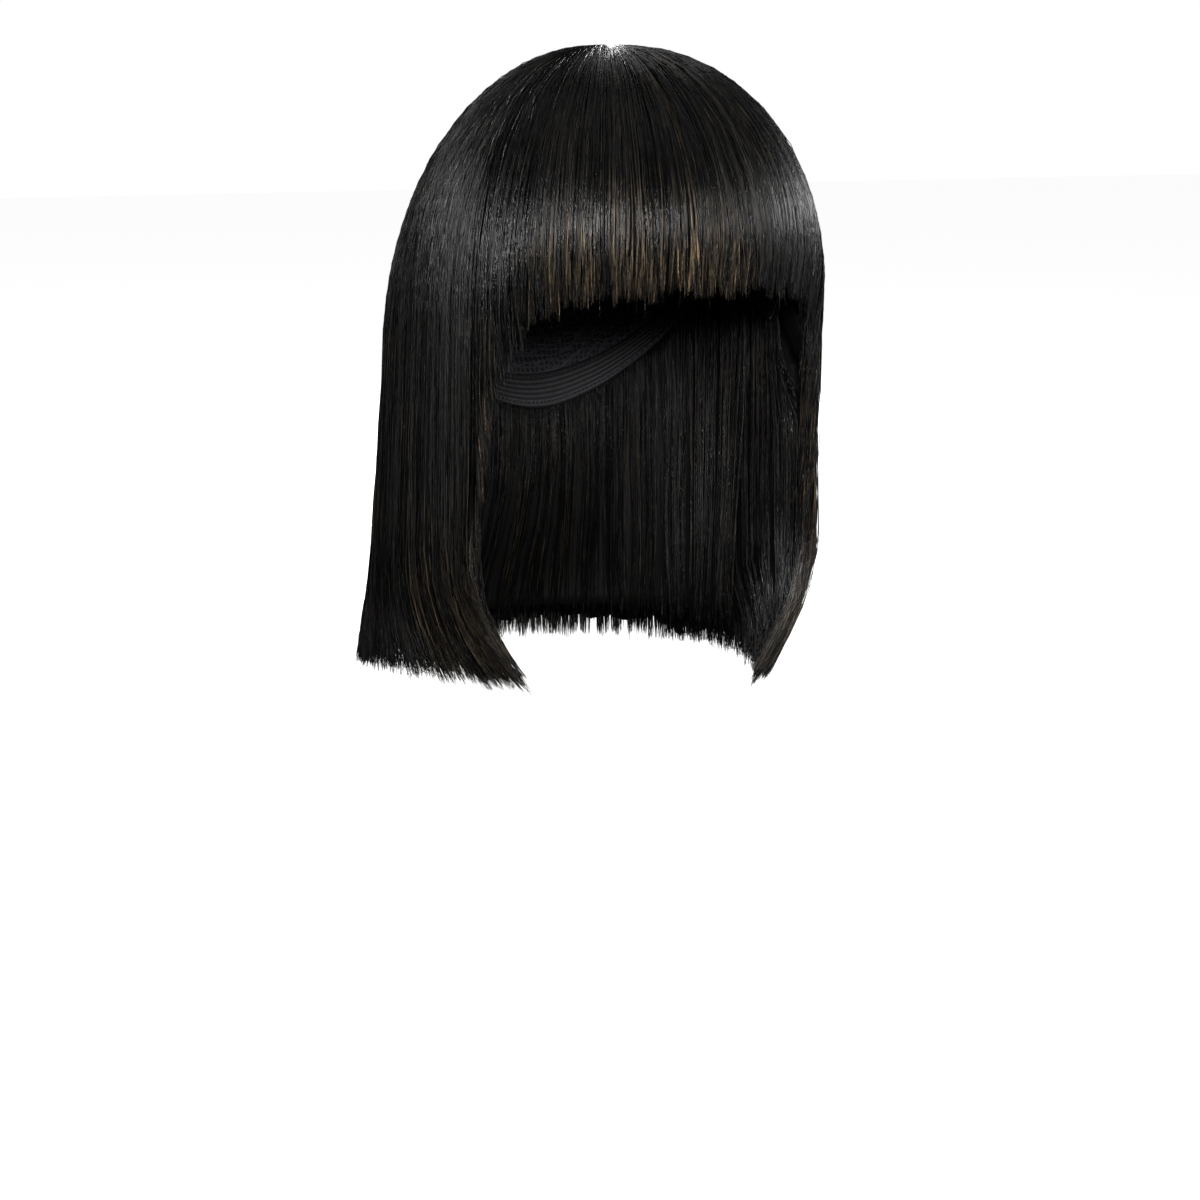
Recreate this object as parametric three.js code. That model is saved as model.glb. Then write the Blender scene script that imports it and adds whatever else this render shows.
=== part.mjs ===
// A bob wig of straight black hair with a full fringe, kept in the form that it has when worn.
// A thin fitted cap carries everything. The hair leaves a small round patch on the crown in every
// direction, runs over the dome and falls to a level cut: the fringe in front, a curtain at each side
// and the back. A shorter under layer hangs from the cap's rim, behind the ears and round the nape.
//
// Millimetres, +Z up. The wearer faces -Y, and the wearer's left is +X. The origin is where the top of
// the head touches the inside of the cap, so every level below it is negative.
//
// Every surface is given in planes that stand on the crown's middle, as hair lies: an azimuth, a
// distance out from the crown's middle and a level. An azimuth is counted from the front: 0 is the
// forehead, 90 the wearer's left, -90 the right and 180 the nape.
import * as THREE from "three";
import { mergeVertices } from "three/addons/utils/BufferGeometryUtils.js";

// The head that the cap fits, with its depths measured from the axis through the ears
const HEAD_WIDTH = 153;
const HEAD_FRONT = 92;
const HEAD_BACK = 98;
const HEAD_WIDEST_DROP = 84; // from the crown to the level where the head is widest
const HEAD_POWER = 2.2; // the dome's profile: 2 is an ellipse, higher is squarer
const PLAN_POWER = 2.15; // the same, for every outline seen from above

// The cap, and the patch that closes its rows of hair on the crown
const CAP_WALL = 1.5;
const CAP_NAPE_DROP = 163; // from the crown to the rim at the nape
const CAP_NAPE_TUCK = 30; // how far the nape lies in front of the back of the head
const TUCK_POWER = 1.5; // how late it turns in, going down
const CROWN_LEFT = 4;
const CROWN_BEHIND = 6;
const PATCH_RADIUS = 6;
const PATCH_THICKNESS = 1.5;

// The hair's thickness over the cap
const CROWN_THICKNESS = 12.5;
const FRONT_THICKNESS = 16;
const SIDE_THICKNESS = 20;
const BACK_THICKNESS = 18;
const ROOT_THICKNESS = 4.5; // at the patch's edge
const ROOT_RISE = 26; // how far out from there it reaches its full thickness
const TIP_THICKNESS = 8;
const TAPER_HEIGHT = 50; // height of the stretch that thins towards the tips

// The hair's levels below the crown
const HAIR_WIDEST_DROP = 135; // where the back of the hair is widest
const BOB_DROP = 280; // the cut of the sides and the back
const CUT_LEAN = 3.5; // how much lower that cut lies on the wearer's left, and higher on the right
const FRINGE_DROP = 93; // the fringe's cut
const FRINGE_TUCK = 6; // how far the fringe's tips turn in towards the brow
const TIP_SWING = 24; // the largest turn of the curtains' tips
const TIP_FORWARD = 19; // how far forward they sweep at the free edge beside the cheek
const SWING_HEIGHT = 62; // height of the stretch that turns
const SWING_POWER = 1.8; // how late it turns, going down

// Where the pieces part, as azimuths in degrees
const FRINGE_EDGE = 64;
const FACE_EDGE = 72; // the curtain's free front edge beside the cheek
const FACE_EDGE_WIDTH = 14; // how far from that edge the curtain has its full thickness
const FACE_EDGE_SHARE = 0.4; // the share of its thickness that it has at the edge
const SWEEP_WIDTH = 40; // how far from that edge the tips still sweep forward
const BACK_EDGE = 125;
const UNDER_EDGE = 90;

// Locks: strips of hair side by side, each with a raised back and its own tip
const LOCK_WIDTH = 12;
const LOCK_NOTCH = 1.4; // how deep the notches between locks lie
const LOCK_RIDGE = 0.55; // how high a lock's back stands
const LOCK_TIP = 8; // how far a lock's tip hangs below the notches beside it
const LOCK_UNEVEN = 3; // how much the tips differ from each other
const LOCK_WAVE = 1.7; // radians from one tip to the next in the wave that sets the difference
const SPLIT_AZIMUTH = -31; // a notch near the crown where the hair lies open
const SPLIT_DEPTH = 4;
const SPLIT_LENGTH = 46;

// The under layer
const UNDER_THICKNESS = 4;
const UNDER_SHORTER = 10; // how much higher it ends than the curtains

// Clearances
const CLEARANCE = 0.3; // between pieces that lie on each other
const LAYER_GAP = 1.2; // between the under layer and the curtains, which turn differently

// The grids of the lofts. The cap and the under layer share their columns.
const CAP_COLUMNS = 72;
const CAP_ROWS = 8;
const CAP_DOME_ROWS = 6;
const PATCH_COLUMNS = 16;
const DOME_ROWS = 8;
const FRINGE_ROWS = 10;
const CURTAIN_ROWS = 14;
const UNDER_ROWS = 6;
const FALL_START = 0.85; // a dome's rows end this share of the way down, or at the widest level

// The hair's outer form round the head. widest: its widest level, as a share of HAIR_WIDEST_DROP.
// power: the dome's profile. flare: how far the cut hangs out, and swing: how far the tips turn in,
// both as shares of TIP_SWING.
const FORM = [
  { azimuth: 0, widest: 0.74, power: 2.25, flare: 0, swing: 0 },
  { azimuth: 35, widest: 0.77, power: 2.27, flare: 0, swing: 0.3 },
  { azimuth: 55, widest: 0.8, power: 2.25, flare: -0.05, swing: 0.7 },
  { azimuth: 72, widest: 0.83, power: 2.22, flare: 0.09, swing: 1 },
  { azimuth: 90, widest: 0.88, power: 2.16, flare: 0.22, swing: 0.68 },
  { azimuth: 108, widest: 0.95, power: 2.08, flare: 0.35, swing: 0.13 },
  { azimuth: 125, widest: 1.03, power: 2.04, flare: 0.44, swing: -0.2 },
  { azimuth: 150, widest: 1.05, power: 2.02, flare: 0.37, swing: -0.07 },
  { azimuth: 180, widest: 1, power: 2.02, flare: 0.18, swing: 0.1 },
];

// The cut at the temple, from the fringe's level at 0 to the bob's at 1
const CUT = [
  { azimuth: 0, fall: 0 },
  { azimuth: 30, fall: 0.01 },
  { azimuth: 46, fall: 0.03 },
  { azimuth: 53, fall: 0.065 },
  { azimuth: 58, fall: 0.12 },
  { azimuth: 62, fall: 0.2 },
  { azimuth: 66, fall: 0.32 },
  { azimuth: 70, fall: 0.6 },
  { azimuth: 72, fall: 1 },
];

// The cap's rim. level: a share of CAP_NAPE_DROP. tuck: how far in it lies, a share of CAP_NAPE_TUCK.
// It is high over the forehead, has a tab in front of each ear and a notch over it.
const RIM = [
  { azimuth: 0, level: 0.31, tuck: 0 },
  { azimuth: 30, level: 0.33, tuck: 0 },
  { azimuth: 50, level: 0.43, tuck: 0 },
  { azimuth: 64, level: 0.6, tuck: 0.05 },
  { azimuth: 74, level: 0.71, tuck: 0.1 },
  { azimuth: 82, level: 0.68, tuck: 0.12 },
  { azimuth: 90, level: 0.6, tuck: 0.15 },
  { azimuth: 98, level: 0.59, tuck: 0.2 },
  { azimuth: 110, level: 0.68, tuck: 0.35 },
  { azimuth: 128, level: 0.84, tuck: 0.6 },
  { azimuth: 150, level: 0.95, tuck: 0.85 },
  { azimuth: 180, level: 1, tuck: 1 },
];

const HAIR_BLACK = 0x12100f;
const CAP_BLACK = 0x17161a;

const mix = THREE.MathUtils.lerp;
const clamp = THREE.MathUtils.clamp;
const ease = (share) => THREE.MathUtils.smoothstep(share, 0, 1);
const folded = (azimuth) => Math.abs(THREE.MathUtils.euclideanModulo(azimuth + 180, 360) - 180);

// The dome of the head, or of a surface that lies outside it. widest is a level below the crown.
const headDome = (outside) => ({ top: outside, widest: HEAD_WIDEST_DROP, power: HEAD_POWER });

// How far the hair's inner surface stays off the cap, so that its flat facets clear the cap's bow.
const FACET_LENGTH = (HEAD_BACK + HEAD_WIDEST_DROP / 2) / DOME_ROWS;
const FACET_BOW = FACET_LENGTH ** 2 / (4 * HEAD_WIDTH);
const SEAT = CAP_WALL + CLEARANCE + FACET_BOW;

// A column of a table at any azimuth, as a smooth curve through its rows. Both sides are alike.
function fromTable(table, column, azimuth) {
  const last = table.length - 1;
  const place = Math.min(folded(azimuth), table[last].azimuth);
  const after = Math.max(1, table.findIndex((row) => row.azimuth >= place));
  const slope = (k) => {
    if (k === 0 || k === last) return 0;
    const rise = table[k + 1][column] - table[k - 1][column];
    return rise / (table[k + 1].azimuth - table[k - 1].azimuth);
  };
  const width = table[after].azimuth - table[after - 1].azimuth;
  const s = (place - table[after - 1].azimuth) / width;
  const start = table[after - 1][column] * (1 + 2 * s) * (1 - s) ** 2;
  const end = table[after][column] * s ** 2 * (3 - 2 * s);
  const bend = slope(after - 1) * s * (1 - s) ** 2 - slope(after) * s ** 2 * (1 - s);
  return start + end + bend * width;
}

// An outline seen from above, outside the head by a distance or by three of them.
function outlineOf(side, front = side, back = side) {
  return { side: HEAD_WIDTH / 2 + side, front: HEAD_FRONT + front, back: HEAD_BACK + back };
}

// Where a point lies in an outline: 0 is its middle, 1 its edge.
function shareOf(point, outline) {
  const x = Math.abs(point.x) / outline.side;
  const y = Math.abs(point.y) / (point.y < 0 ? outline.front : outline.back);
  return (x ** PLAN_POWER + y ** PLAN_POWER) ** (1 / PLAN_POWER);
}

// The direction of an azimuth, from the crown's middle to the head's outline.
function directionOf(azimuth) {
  const angle = THREE.MathUtils.degToRad(azimuth);
  const bulge = (value) => Math.sign(value) * Math.abs(value) ** (2 / PLAN_POWER);
  const depth = Math.cos(angle) > 0 ? HEAD_FRONT : HEAD_BACK;
  const edge = new THREE.Vector2((HEAD_WIDTH / 2) * bulge(Math.sin(angle)), -depth * bulge(Math.cos(angle)));
  return edge.sub(new THREE.Vector2(CROWN_LEFT, CROWN_BEHIND)).normalize();
}

// The point at a distance from the crown's middle and at a level, moved aside towards higher azimuths.
function pointAt(azimuth, distance, level, aside = 0) {
  const direction = directionOf(azimuth);
  const x = CROWN_LEFT + direction.x * distance - direction.y * aside;
  const y = CROWN_BEHIND + direction.y * distance + direction.x * aside;
  return new THREE.Vector3(x, y, level);
}

// The distance from the crown's middle to an outline.
function reachOf(azimuth, outline) {
  let inside = 0;
  let outside = outline.side + outline.front + outline.back;
  for (let halving = 0; halving < 40; halving += 1) {
    const middle = (inside + outside) / 2;
    if (shareOf(pointAt(azimuth, middle, 0), outline) < 1) inside = middle;
    else outside = middle;
  }
  return inside;
}

// The level of a dome at a share of its reach.
function domeLevel(share, { top, widest, power }) {
  return -widest + (widest + top) * (1 - Math.min(1, share) ** power) ** (1 / power);
}

// The share of its reach that a dome has at a level. It is 1 from the widest level down.
function domeShare(level, { top, widest, power }) {
  const height = clamp((level + widest) / (widest + top), 0, 1);
  return (1 - height ** power) ** (1 / power);
}

// The level of the head's dome, or of one that lies outside it, over a point seen from above.
const headLevel = (point, outside) => domeLevel(shareOf(point, outlineOf(outside)), headDome(outside));

// The level of a surface's row: rows make even turns over its dome, then even steps down to its end.
function rowLevel(row, rows, domeRows, startShare, end, { top, widest, power }) {
  const bend = Math.max(-widest, mix(top, end, FALL_START));
  const first = Math.asin(startShare ** (power / 2));
  const last = Math.acos(((bend + widest) / (widest + top)) ** (power / 2));
  const turn = mix(first, last, Math.min(1, row / domeRows));
  const level = -widest + (widest + top) * Math.cos(turn) ** (2 / power);
  return mix(level, end, clamp((row - domeRows) / (rows - domeRows), 0, 1));
}

// How far out the cap lies at a level.
function capDistance(azimuth, level, outside) {
  const below = clamp((-HEAD_WIDEST_DROP - level) / (CAP_NAPE_DROP - HEAD_WIDEST_DROP), 0, 1);
  const tuck = fromTable(RIM, "tuck", azimuth) * CAP_NAPE_TUCK * below ** TUCK_POWER;
  return reachOf(azimuth, outlineOf(outside)) * domeShare(level, headDome(outside)) - tuck;
}

const rimLevel = (azimuth) => -fromTable(RIM, "level", azimuth) * CAP_NAPE_DROP;

// The level of the cut: the fringe's, the corner's at the temple, then that of the sides and the back.
function cutLevel(azimuth) {
  const bob = BOB_DROP + CUT_LEAN * Math.sin(THREE.MathUtils.degToRad(azimuth));
  return -mix(FRINGE_DROP, bob, fromTable(CUT, "fall", azimuth));
}

// The hair's outer form at an azimuth: its dome, how far out that reaches, and how its tips hang.
function formOf(azimuth) {
  const thickness = [SIDE_THICKNESS, FRONT_THICKNESS, BACK_THICKNESS].map((value) => CAP_WALL + value);
  return {
    reach: reachOf(azimuth, outlineOf(...thickness)),
    dome: {
      top: CAP_WALL + CROWN_THICKNESS,
      widest: fromTable(FORM, "widest", azimuth) * HAIR_WIDEST_DROP,
      power: fromTable(FORM, "power", azimuth),
    },
    flare: fromTable(FORM, "flare", azimuth) * TIP_SWING,
    swing: fromTable(FORM, "swing", azimuth) * TIP_SWING,
  };
}

// How far the tips have turned at a level, from 0 above the stretch that turns to 1 at the cut.
const turnAt = (level) => clamp((SWING_HEIGHT - BOB_DROP - level) / SWING_HEIGHT, 0, 1) ** SWING_POWER;

// How far the tips sweep towards higher azimuths at a level: forward, beside the free edge.
function sweepAt(azimuth, level) {
  const beside = clamp(1 - (folded(azimuth) - FACE_EDGE) / SWEEP_WIDTH, 0, 1);
  return -Math.sign(azimuth) * TIP_FORWARD * beside * turnAt(level);
}

// How far out the hair's outer surface lies at a level, for hair that ends at the level of a cut.
function outerDistance(form, level, cut) {
  const hang = clamp((-form.dome.widest - level) / (BOB_DROP - form.dome.widest), 0, 1);
  const fringe = clamp((BOB_DROP + cut) / (BOB_DROP - FRINGE_DROP), 0, 1);
  const tucked = FRINGE_TUCK * fringe * clamp(1 - (level - cut) / (FRINGE_DROP / 2), 0, 1) ** 2;
  const lying = form.reach * domeShare(level, form.dome);
  return lying + form.flare * hang - form.swing * turnAt(level) - tucked;
}

// How far out the hair's inner surface lies at a level. It stays off the cap, hangs straight down
// below the head's widest level, and nears the outer surface towards the tips.
function innerDistance(azimuth, form, level, cut) {
  const lying = reachOf(azimuth, outlineOf(SEAT)) * domeShare(level, headDome(SEAT));
  const tip = outerDistance(form, level, cut) - TIP_THICKNESS;
  return mix(lying, tip, ease(1 - (level - cut) / TAPER_HEIGHT));
}

// A closed shell between two surfaces, each given as the point of a column and a row. The columns of
// a ring meet again at its end.
function shell(columns, rows, outside, inside, ring = false) {
  const points = [];
  const faces = [];
  for (const surface of [outside, inside]) {
    for (let i = 0; i <= columns; i += 1) {
      for (let j = 0; j <= rows; j += 1) points.push(...surface(i, j).toArray());
    }
  }
  const at = (layer, i, j) => (layer * (columns + 1) + i) * (rows + 1) + j;
  const quad = (a, b, c, d) => faces.push(a, b, c, a, c, d);
  for (let i = 0; i < columns; i += 1) {
    for (let j = 0; j < rows; j += 1) {
      quad(at(0, i, j), at(0, i, j + 1), at(0, i + 1, j + 1), at(0, i + 1, j));
      quad(at(1, i, j), at(1, i + 1, j), at(1, i + 1, j + 1), at(1, i, j + 1));
    }
    quad(at(0, i, 0), at(0, i + 1, 0), at(1, i + 1, 0), at(1, i, 0));
    quad(at(0, i, rows), at(1, i, rows), at(1, i + 1, rows), at(0, i + 1, rows));
  }
  for (let j = 0; j < rows && !ring; j += 1) {
    quad(at(0, 0, j), at(1, 0, j), at(1, 0, j + 1), at(0, 0, j + 1));
    quad(at(0, columns, j), at(0, columns, j + 1), at(1, columns, j + 1), at(1, columns, j));
  }
  const geometry = new THREE.BufferGeometry();
  geometry.setAttribute("position", new THREE.Float32BufferAttribute(points, 3));
  geometry.setIndex(faces);
  return withoutSlivers(mergeVertices(geometry, 1e-3));
}

// Drops the triangles that a pole has left with two corners at one point.
function withoutSlivers(geometry) {
  const corners = geometry.index.array;
  const kept = [];
  for (let i = 0; i < corners.length; i += 3) {
    const [a, b, c] = corners.slice(i, i + 3);
    if (a !== b && b !== c && c !== a) kept.push(a, b, c);
  }
  geometry.setIndex(kept);
  geometry.computeVertexNormals();
  return geometry;
}

function named(name, geometry, material) {
  const mesh = new THREE.Mesh(geometry, material);
  mesh.name = name;
  return mesh;
}

// The cap: one thin wall from the crown to its rim.
function makeCap(material) {
  const surface = (outside) => (i, j) => {
    const azimuth = (i * 360) / CAP_COLUMNS;
    const level = rowLevel(j, CAP_ROWS, CAP_DOME_ROWS, 0, rimLevel(azimuth), headDome(outside));
    const point = pointAt(azimuth, j === 0 ? 0 : capDistance(azimuth, level, outside), level);
    return level > -HEAD_WIDEST_DROP ? point.setZ(headLevel(point, outside)) : point;
  };
  return named("cap", shell(CAP_COLUMNS, CAP_ROWS, surface(CAP_WALL), surface(0), true), material);
}

// The crown's patch: a low round disc on the cap, with the roots of the hair round it.
function makePatch(material) {
  const surface = (height) => (i, j) => {
    const point = pointAt((i * 360) / PATCH_COLUMNS, (PATCH_RADIUS - 2 * CLEARANCE) * j, 0);
    return point.setZ(headLevel(point, CAP_WALL + CLEARANCE) + height);
  };
  return named("crown_patch", shell(PATCH_COLUMNS, 1, surface(PATCH_THICKNESS), surface(0), true), material);
}

// The hair between two azimuths, in locks. Each end stays half a clearance off its neighbour, and
// below the fringe the inner surface nears the outer one at the free edge beside the cheek.
function makeHair(name, from, to, rows, material) {
  const radius = (HEAD_WIDTH + HEAD_FRONT + HEAD_BACK) / 4 + SIDE_THICKNESS;
  const columns = 2 * Math.round((THREE.MathUtils.degToRad(to - from) * radius) / LOCK_WIDTH);
  const columnOf = (i) => {
    const azimuth = mix(from, to, i / columns);
    const isNotch = i % 2 === 0;
    const fromEdge = clamp((folded(azimuth) - FACE_EDGE) / FACE_EDGE_WIDTH, 0, 1);
    return {
      azimuth,
      isNotch,
      isSplit: isNotch && Math.abs(azimuth - SPLIT_AZIMUTH) < (to - from) / columns,
      form: formOf(azimuth),
      cut: cutLevel(azimuth) + (isNotch ? LOCK_TIP : LOCK_UNEVEN * Math.sin(i * LOCK_WAVE + from)),
      thinner: (1 - FACE_EDGE_SHARE) * (1 - Math.sqrt(1 - (1 - fromEdge) ** 2)),
      aside: ((i === 0) - (i === columns)) * (CLEARANCE / 2),
    };
  };
  const hairColumns = Array.from({ length: columns + 1 }, (_, i) => columnOf(i));
  const outside = (i, j) => {
    const { azimuth, isNotch, isSplit, form, cut, aside } = hairColumns[i];
    const level = rowLevel(j, rows, DOME_ROWS, PATCH_RADIUS / form.reach, cut, form.dome);
    const distance = outerDistance(form, level, cut);
    const risen = ease((distance - PATCH_RADIUS) / ROOT_RISE);
    const rootLevel = headLevel(pointAt(azimuth, distance, 0), CAP_WALL) + ROOT_THICKNESS;
    const relief = (isNotch ? -LOCK_NOTCH : LOCK_RIDGE) * risen;
    const open = isSplit ? SPLIT_DEPTH * Math.sin(Math.PI * clamp(distance / SPLIT_LENGTH, 0, 1)) : 0;
    const lies = risen < 1 ? mix(rootLevel, level, risen) : level;
    return pointAt(azimuth, distance + relief, lies - open, aside + sweepAt(azimuth, level));
  };
  const inside = (i, j) => {
    const { azimuth, form, cut, thinner, aside } = hairColumns[i];
    const root = PATCH_RADIUS / reachOf(azimuth, outlineOf(SEAT));
    const level = rowLevel(j, rows, DOME_ROWS, root, cut, headDome(SEAT));
    const below = ease((cutLevel(FRINGE_EDGE) - level) / LOCK_WIDTH);
    const lies = innerDistance(azimuth, form, level, cut);
    const distance = mix(lies, outerDistance(form, level, cut), thinner * below);
    const point = pointAt(azimuth, distance, level, aside + sweepAt(azimuth, level));
    return level > -HEAD_WIDEST_DROP ? point.setZ(Math.max(level, headLevel(point, SEAT))) : point;
  };
  return named(name, shell(columns, rows, outside, inside), material);
}

// The under layer: it leaves the cap's rim and spreads until it lies along the inside of the curtains.
function makeUnderHair(name, from, to, material) {
  const columns = Math.round(((to - from) * CAP_COLUMNS) / 360);
  const surface = (isOuter) => (i, j) => {
    const azimuth = mix(from, to, i / columns);
    const isNotch = i % 2 === 0;
    const rim = rimLevel(azimuth) - CLEARANCE;
    const cut = UNDER_SHORTER - BOB_DROP + (isNotch ? LOCK_TIP : LOCK_UNEVEN * Math.sin(i * LOCK_WAVE));
    const level = mix(rim, cut, j / UNDER_ROWS);
    const inside = innerDistance(azimuth, formOf(azimuth), level, cutLevel(azimuth));
    const curtain = Math.min(inside, reachOf(azimuth, outlineOf(SEAT))) - LAYER_GAP;
    const seat = capDistance(azimuth, rim, 0);
    const spread = ease(j / UNDER_ROWS);
    if (!isOuter) return pointAt(azimuth, mix(seat, curtain - TIP_THICKNESS, spread ** 2), level);
    const relief = isNotch ? LOCK_NOTCH * ease((2 * j) / UNDER_ROWS) : 0;
    const outer = mix(seat + UNDER_THICKNESS, curtain, spread) - relief;
    return pointAt(azimuth, Math.min(outer, curtain), level);
  };
  return named(name, shell(columns, UNDER_ROWS, surface(true), surface(false)), material);
}

const hair = new THREE.MeshStandardMaterial({ color: HAIR_BLACK, roughness: 0.38, metalness: 0 });
const netting = new THREE.MeshStandardMaterial({ color: CAP_BLACK, roughness: 0.85, metalness: 0 });

const wig = new THREE.Group();
wig.add(makeCap(netting));
wig.add(makePatch(netting));
wig.add(makeHair("fringe", -FRINGE_EDGE, FRINGE_EDGE, FRINGE_ROWS, hair));
wig.add(makeHair("left_side_hair", FRINGE_EDGE, BACK_EDGE, CURTAIN_ROWS, hair));
wig.add(makeHair("back_hair", BACK_EDGE, 360 - BACK_EDGE, CURTAIN_ROWS, hair));
wig.add(makeHair("right_side_hair", -BACK_EDGE, -FRINGE_EDGE, CURTAIN_ROWS, hair));
wig.add(makeUnderHair("under_hair", UNDER_EDGE, 360 - UNDER_EDGE, hair));

export default wig;
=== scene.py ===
"""The looks of a bob wig of straight black hair with a full fringe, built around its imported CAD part.

Metres, +Z up. The wearer faces -Y, and the wearer's left is +X. The origin is the inside of the cap's crown.
Hair lies in upright planes through the whorl, so a place on it is an azimuth, a distance out from the whorl
and a level. An azimuth is counted from the front: 0 is the middle of the fringe, 90 the wearer's left, -90
the right and 180 the nape.
"""
import math
from functools import partial

import bmesh
import bpy
import numpy as np
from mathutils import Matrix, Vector


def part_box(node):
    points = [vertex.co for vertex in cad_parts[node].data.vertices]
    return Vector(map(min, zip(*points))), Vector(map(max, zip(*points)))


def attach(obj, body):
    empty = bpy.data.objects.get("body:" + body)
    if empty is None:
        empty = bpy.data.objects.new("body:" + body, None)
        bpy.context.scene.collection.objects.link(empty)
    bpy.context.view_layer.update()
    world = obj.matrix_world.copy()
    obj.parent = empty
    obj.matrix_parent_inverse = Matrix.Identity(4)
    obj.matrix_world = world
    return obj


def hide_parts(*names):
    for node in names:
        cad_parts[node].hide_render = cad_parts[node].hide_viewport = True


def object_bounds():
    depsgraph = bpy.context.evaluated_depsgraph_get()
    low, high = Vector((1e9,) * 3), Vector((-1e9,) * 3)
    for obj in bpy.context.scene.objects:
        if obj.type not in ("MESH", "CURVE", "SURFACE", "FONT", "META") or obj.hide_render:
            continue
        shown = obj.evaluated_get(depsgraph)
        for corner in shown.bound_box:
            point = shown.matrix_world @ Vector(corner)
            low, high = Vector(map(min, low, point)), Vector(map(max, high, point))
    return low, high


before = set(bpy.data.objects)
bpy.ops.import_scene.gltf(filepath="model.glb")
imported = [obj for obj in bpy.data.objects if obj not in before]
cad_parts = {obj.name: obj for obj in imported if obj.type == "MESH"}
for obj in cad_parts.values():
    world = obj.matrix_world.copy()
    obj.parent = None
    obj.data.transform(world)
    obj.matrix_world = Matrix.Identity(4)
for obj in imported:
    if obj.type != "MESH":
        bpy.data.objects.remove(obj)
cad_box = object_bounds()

# The cap, as the CAD part has it: its inside, its wall and its rim
CAP_WIDTH = 0.153
CAP_FRONT = 0.092
CAP_BACK = 0.098
CAP_WIDEST_DROP = 0.084
CAP_POWER = 2.2
PLAN_POWER = 2.15
CAP_WALL = 0.0015
CAP_NAPE_DROP = 0.163
CAP_NAPE_TUCK = 0.030
TUCK_POWER = 1.5
PATCH_RADIUS = 0.006
SEAT = 0.0024

# The hair's form, as the CAD part has it, but 2 mm lower on the crown and 5 mm thicker over the patch.
# The edges and the sweep's width are in degrees.
CROWN_THICKNESS = 0.0105
FRONT_THICKNESS = 0.016
SIDE_THICKNESS = 0.020
BACK_THICKNESS = 0.018
ROOT_THICKNESS = 0.0098
ROOT_RISE = 0.026
TIP_THICKNESS = 0.008
TAPER_HEIGHT = 0.050
HAIR_WIDEST_DROP = 0.135
BOB_DROP = 0.280
CUT_LEAN = 0.0035
FRINGE_DROP = 0.093
FRINGE_TUCK = 0.006
TIP_SWING = 0.024
TIP_FORWARD = 0.019
SWING_HEIGHT = 0.062
SWING_POWER = 1.8
FRINGE_EDGE = 64
FACE_EDGE = 72
SWEEP_WIDTH = 40
BACK_EDGE = 125
UNDER_EDGE = 90
UNDER_THICKNESS = 0.004
UNDER_SHORTER = 0.010
LAYER_GAP = 0.0012
FACE_EDGE_WIDTH = 14
FACE_EDGE_SHARE = 0.4
FACE_EDGE_BLEND = 0.012

# The whorl that the hair leaves, and the dark split between two locks in front of it
WHORL_RADIUS = 0.0009
SPLIT_AZIMUTH = -31
SPLIT_LENGTH = 0.046
SPLIT_DEPTH = 0.002
SPLIT_OPEN = 2.4  # degrees that each side of it turns away
SPLIT_REACH = 7.0  # degrees over which that fades

# The guide sheets that the strands follow. They run a little past the cut, for stray tips.
LOWEST = -0.315
PAST_CUT = 0.2  # how far a guide line may run on past its cut
CUT_AT = 0.96  # the share of a sheet's length at which its longest hair is cut
SHEET_ROWS = 60
SHEET_STEP = 1.5  # degrees from column to column
OVERLAP = 1.5  # degrees by which neighbouring sheets cover each other
INNER_EDGE = 71  # the azimuth at which the curtains' inner strands start

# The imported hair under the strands
PACKED_ROWS = 34
PACKED_DEPTH = 0.0048  # how far it lies under the outermost strands
GROOVE_DEPTH = 0.0004
FRINGE_LOOSE = 0.011  # how far it ends above the fringe's cut
BOB_LOOSE = 0.005  # and above the bob's
LOOSE_SPREAD = 0.004
LOOSE_EDGE = 7  # degrees behind FACE_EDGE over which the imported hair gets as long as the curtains
END_THINNED = 0.42  # how far its two walls close towards each other at its end

# The cloth of the cap
NET_THICKNESS = 0.0008
BAND_START = 0.92  # the share of the way from the whorl to the rim at which the elastic band starts
CLOTH_GAP = 0.0002
PATCH_THICKNESS = 0.0014
PATCH_GAP = 0.0003

# What each azimuth's hair does, as azimuths with their values. widest: its widest level, as a share of
# HAIR_WIDEST_DROP. power: the dome's profile. flare and swing: how far the cut hangs out and the tips
# turn in, as shares of TIP_SWING. fall: the cut, from the fringe's at 0 to the bob's at 1. rim and tuck:
# the cap's rim, as shares of CAP_NAPE_DROP and CAP_NAPE_TUCK.
FORM = {
    "widest": [(0, 0.74), (35, 0.77), (55, 0.8), (72, 0.83), (90, 0.88), (108, 0.95), (125, 1.03),
               (150, 1.05), (180, 1)],
    "power": [(0, 2.25), (35, 2.27), (55, 2.25), (72, 2.22), (90, 2.16), (108, 2.08), (125, 2.04),
              (150, 2.02), (180, 2.02)],
    "flare": [(0, 0), (35, 0), (55, -0.05), (72, 0.09), (90, 0.22), (108, 0.35), (125, 0.44), (150, 0.37),
              (180, 0.18)],
    "swing": [(0, 0), (35, 0.3), (55, 0.7), (72, 1), (90, 0.68), (108, 0.13), (125, -0.2), (150, -0.07),
              (180, 0.1)],
    "fall": [(0, 0), (30, 0.01), (46, 0.03), (53, 0.065), (58, 0.12), (62, 0.2), (66, 0.32), (70, 0.6),
             (72, 1)],
    "rim": [(0, 0.31), (30, 0.33), (50, 0.43), (64, 0.6), (74, 0.71), (82, 0.68), (90, 0.6), (98, 0.59),
            (110, 0.68), (128, 0.84), (150, 0.95), (180, 1)],
    "tuck": [(0, 0), (30, 0), (50, 0), (64, 0.05), (74, 0.1), (82, 0.12), (90, 0.15), (98, 0.2), (110, 0.35),
             (128, 0.6), (150, 0.85), (180, 1)],
}

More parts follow.
